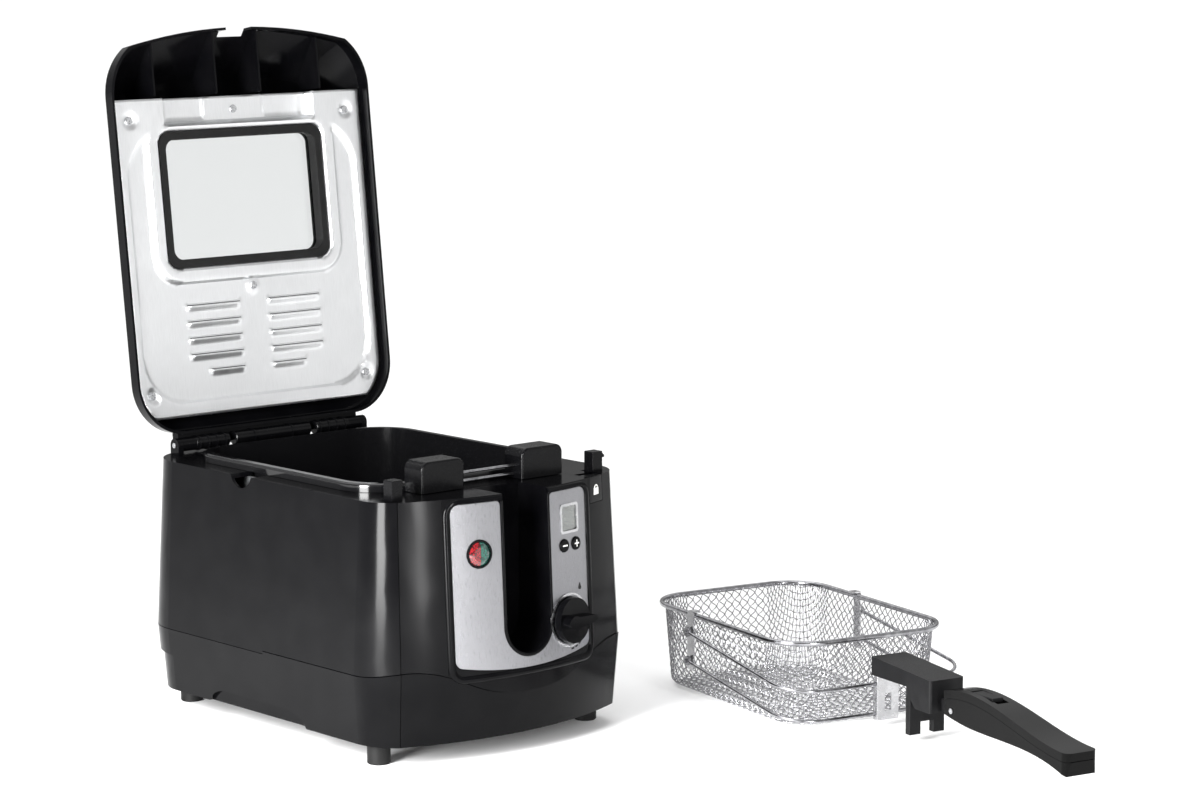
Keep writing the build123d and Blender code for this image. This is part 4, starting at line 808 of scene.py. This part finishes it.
def slot_path(out):
    """The U round the handle slot, out mm outside it."""
    half, middle = SLOT_HALF + out, SLOT_LOW + SLOT_HALF
    left = [(-half, FASCIA_TOP)] + straight_steps((-half, FASCIA_TOP), (-half, middle), 16)
    return left + arc_steps(0, middle, half, 180, 360, 24) + [(-x, z) for x, z in reversed(left)]


def lip(name, path, section):
    """Carries a cross-section of (out, proud) points along a path on the front panel."""
    rows = [[on_front(x, z, proud) for x, z in path(out)] for out, proud in section]
    count, depth = len(rows[0]), len(rows)
    points = [point for row in rows for point in row]
    faces = []
    for i in range(count - 1):
        for j in range(depth):
            k = (j + 1) % depth
            faces.append((j * count + i, j * count + i + 1, k * count + i + 1, k * count + i))
    faces.append(tuple(j * count for j in range(depth)))
    faces.append(tuple(j * count + count - 1 for j in reversed(range(depth))))
    return new_piece(name, points, faces, casing_abs, 50)


panel_section = [(0.4, -0.6), (0.5, 0.9), (1.3, 1.7), (4.9, 1.7), (6.3, 1.1), (7.0, -0.6)]
slot_section = [(-0.1, -0.6), (0.1, 0.9), (0.8, 1.3), (2.2, 1.3), (2.9, 0.8), (3.0, -0.6)]
panel_lip = lip("panel_lip", panel_path, panel_section)
slot_lip = lip("slot_lip", slot_path, slot_section)
for piece in (panel_lip, slot_lip):
    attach(piece, "fryer")
print("lip points:", len(panel_lip.data.vertices) + len(slot_lip.data.vertices))

# %% [markdown]
# ## The hinge barrels
# Three ribbed barrels run along the lid's hinge line and close the gap between the lid and the deck.
# Each one is round about the hinge itself, so it turns in place when the lid moves.


# %% Hinge barrels
BARREL_R, RIB_R, RIB_W = 6.6, 7.4, 1.6
SIDES = 32


def hinge_barrel(start, end, ribs):
    """A round barrel along the hinge from one x to another, with evenly spaced ribs. All in mm."""
    stations = [(start, BARREL_R - 0.8), (start + 0.8, BARREL_R)]
    for rib in range(ribs):
        middle = start + (end - start) * (rib + 0.5) / ribs
        stations += [(middle - RIB_W / 2, BARREL_R), (middle - RIB_W / 2 + 0.1, RIB_R)]
        stations += [(middle + RIB_W / 2 - 0.1, RIB_R), (middle + RIB_W / 2, BARREL_R)]
    stations += [(end - 0.8, BARREL_R), (end, BARREL_R - 0.8)]
    turns = [math.radians(360 * i / SIDES) for i in range(SIDES)]
    points = [
        on_lid(x, radius * math.cos(a), radius * math.sin(a)) for x, radius in stations for a in turns
    ]
    faces = [tuple(range(SIDES)), tuple(len(points) - 1 - i for i in range(SIDES))]
    for n in range(len(stations) - 1):
        first, after = n * SIDES, (n + 1) * SIDES
        for i in range(SIDES):
            j = (i + 1) % SIDES
            faces.append((first + i, after + i, after + j, first + j))
    barrel = new_piece("hinge_barrel", points, faces, resin_black)
    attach(barrel, "lid")
    return barrel


barrels = [hinge_barrel(*span) for span in ((-92, -52, 4), (-45, 45, 2), (52, 92, 4))]
print("hinge barrels:", len(barrels))

# %% [markdown]
# ## Light and room
# One high soft sun fills the scene. Two tall soft strips stand on the floor where the rounded corners
# mirror them, and a pale screen on the right shows in the sheet metal under the lid. The room is
# brighter behind the fryer than behind the camera, but dark low down behind it, because the level
# black tops mirror that part at a flat angle and should stay black.


# %% Studio
def soft_panel(name, middle, aim, width, height, power, tone="FFFFFF"):
    """A rectangular soft light at middle that faces aim."""
    data = bpy.data.lights.new(name, "AREA")
    data.shape = "RECTANGLE"
    data.size = width
    data.size_y = height
    data.energy = power
    data.color = to_linear(tone)[:3]
    light = bpy.data.objects.new(name, data)
    light.location = middle
    light.rotation_mode = "QUATERNION"
    light.rotation_quaternion = (Vector(aim) - Vector(middle)).to_track_quat("-Z", "Y")
    bpy.context.scene.collection.objects.link(light)
    return light


sun_data = bpy.data.lights.new("high_soft_light", "SUN")
sun_data.energy = 1.8
sun_data.angle = math.radians(70)
sun = bpy.data.objects.new("high_soft_light", sun_data)
sun.rotation_euler = (math.radians(-14), math.radians(-10), 0)
bpy.context.scene.collection.objects.link(sun)
soft_panel("left_strip", (-1.3, -0.45, 0.45), (0, 0, 0.15), 0.45, 0.9, 85)
soft_panel("front_strip", (-0.12, -1.4, 0.4), (0, 0, 0.2), 0.1, 0.8, 8)
soft_panel("right_screen", (1.5, -1.9, 1.0), (0, 0.2, 0.4), 2.0, 1.3, 4.5)

# %% Pale room
world = bpy.data.worlds.new("pale_room")
bpy.context.scene.world = world
world.use_nodes = True
sky = world.node_tree
direction = add_node(sky, "ShaderNodeTexCoord").outputs["Generated"]
facing = add_node(
    sky, "ShaderNodeVectorMath", {"operation": "DOT_PRODUCT"}, {1: (0.67, 0.74, 0.0)}, {0: direction}
).outputs["Value"]
level = add_node(
    sky,
    "ShaderNodeMapRange",
    values={"From Min": -0.2, "From Max": 0.75, "To Min": 0.3, "To Max": 1.2},
    links={"Value": facing},
).outputs["Result"]
height = add_node(sky, "ShaderNodeSeparateXYZ", links={"Vector": direction}).outputs["Z"]
behind = add_node(
    sky,
    "ShaderNodeMapRange",
    values={"From Min": 0.2, "From Max": 0.6, "To Min": 0.0, "To Max": 0.85},
    links={"Value": facing},
).outputs["Result"]
low_dark = add_node(
    sky,
    "ShaderNodeMapRange",
    values={"From Min": 0.15, "From Max": 0.5, "To Max": 0.0},
    links={"Value": height, "To Min": behind},
).outputs["Result"]
kept = add_node(
    sky, "ShaderNodeMath", {"operation": "SUBTRACT"}, {0: 1.0}, {1: low_dark}
).outputs["Value"]
shaded = add_node(
    sky, "ShaderNodeMath", {"operation": "MULTIPLY"}, links={0: level, 1: kept}
).outputs["Value"]
sky.links.new(shaded, sky.nodes["Background"].inputs["Strength"])
sky.nodes["Background"].inputs["Color"].default_value = to_linear("FFFFFF")

floor_mesh = bpy.data.meshes.new("floor")
reach = 60.0
corners = [(-reach, -reach, 0), (reach, -reach, 0), (reach, reach, 0), (-reach, reach, 0)]
floor_mesh.from_pydata(corners, [], [(0, 1, 2, 3)])
floor = bpy.data.objects.new("floor", floor_mesh)
bpy.context.scene.collection.objects.link(floor)
floor_paint = new_material("matt_white_board", {"Roughness": 0.9, "Specular IOR Level": 0.1})[0]
floor_paint.node_tree.nodes["Principled BSDF"].inputs["Base Color"].default_value = to_linear("FAFAFA")
floor.data.materials.append(floor_paint)
print("lights:", len(bpy.data.lights))
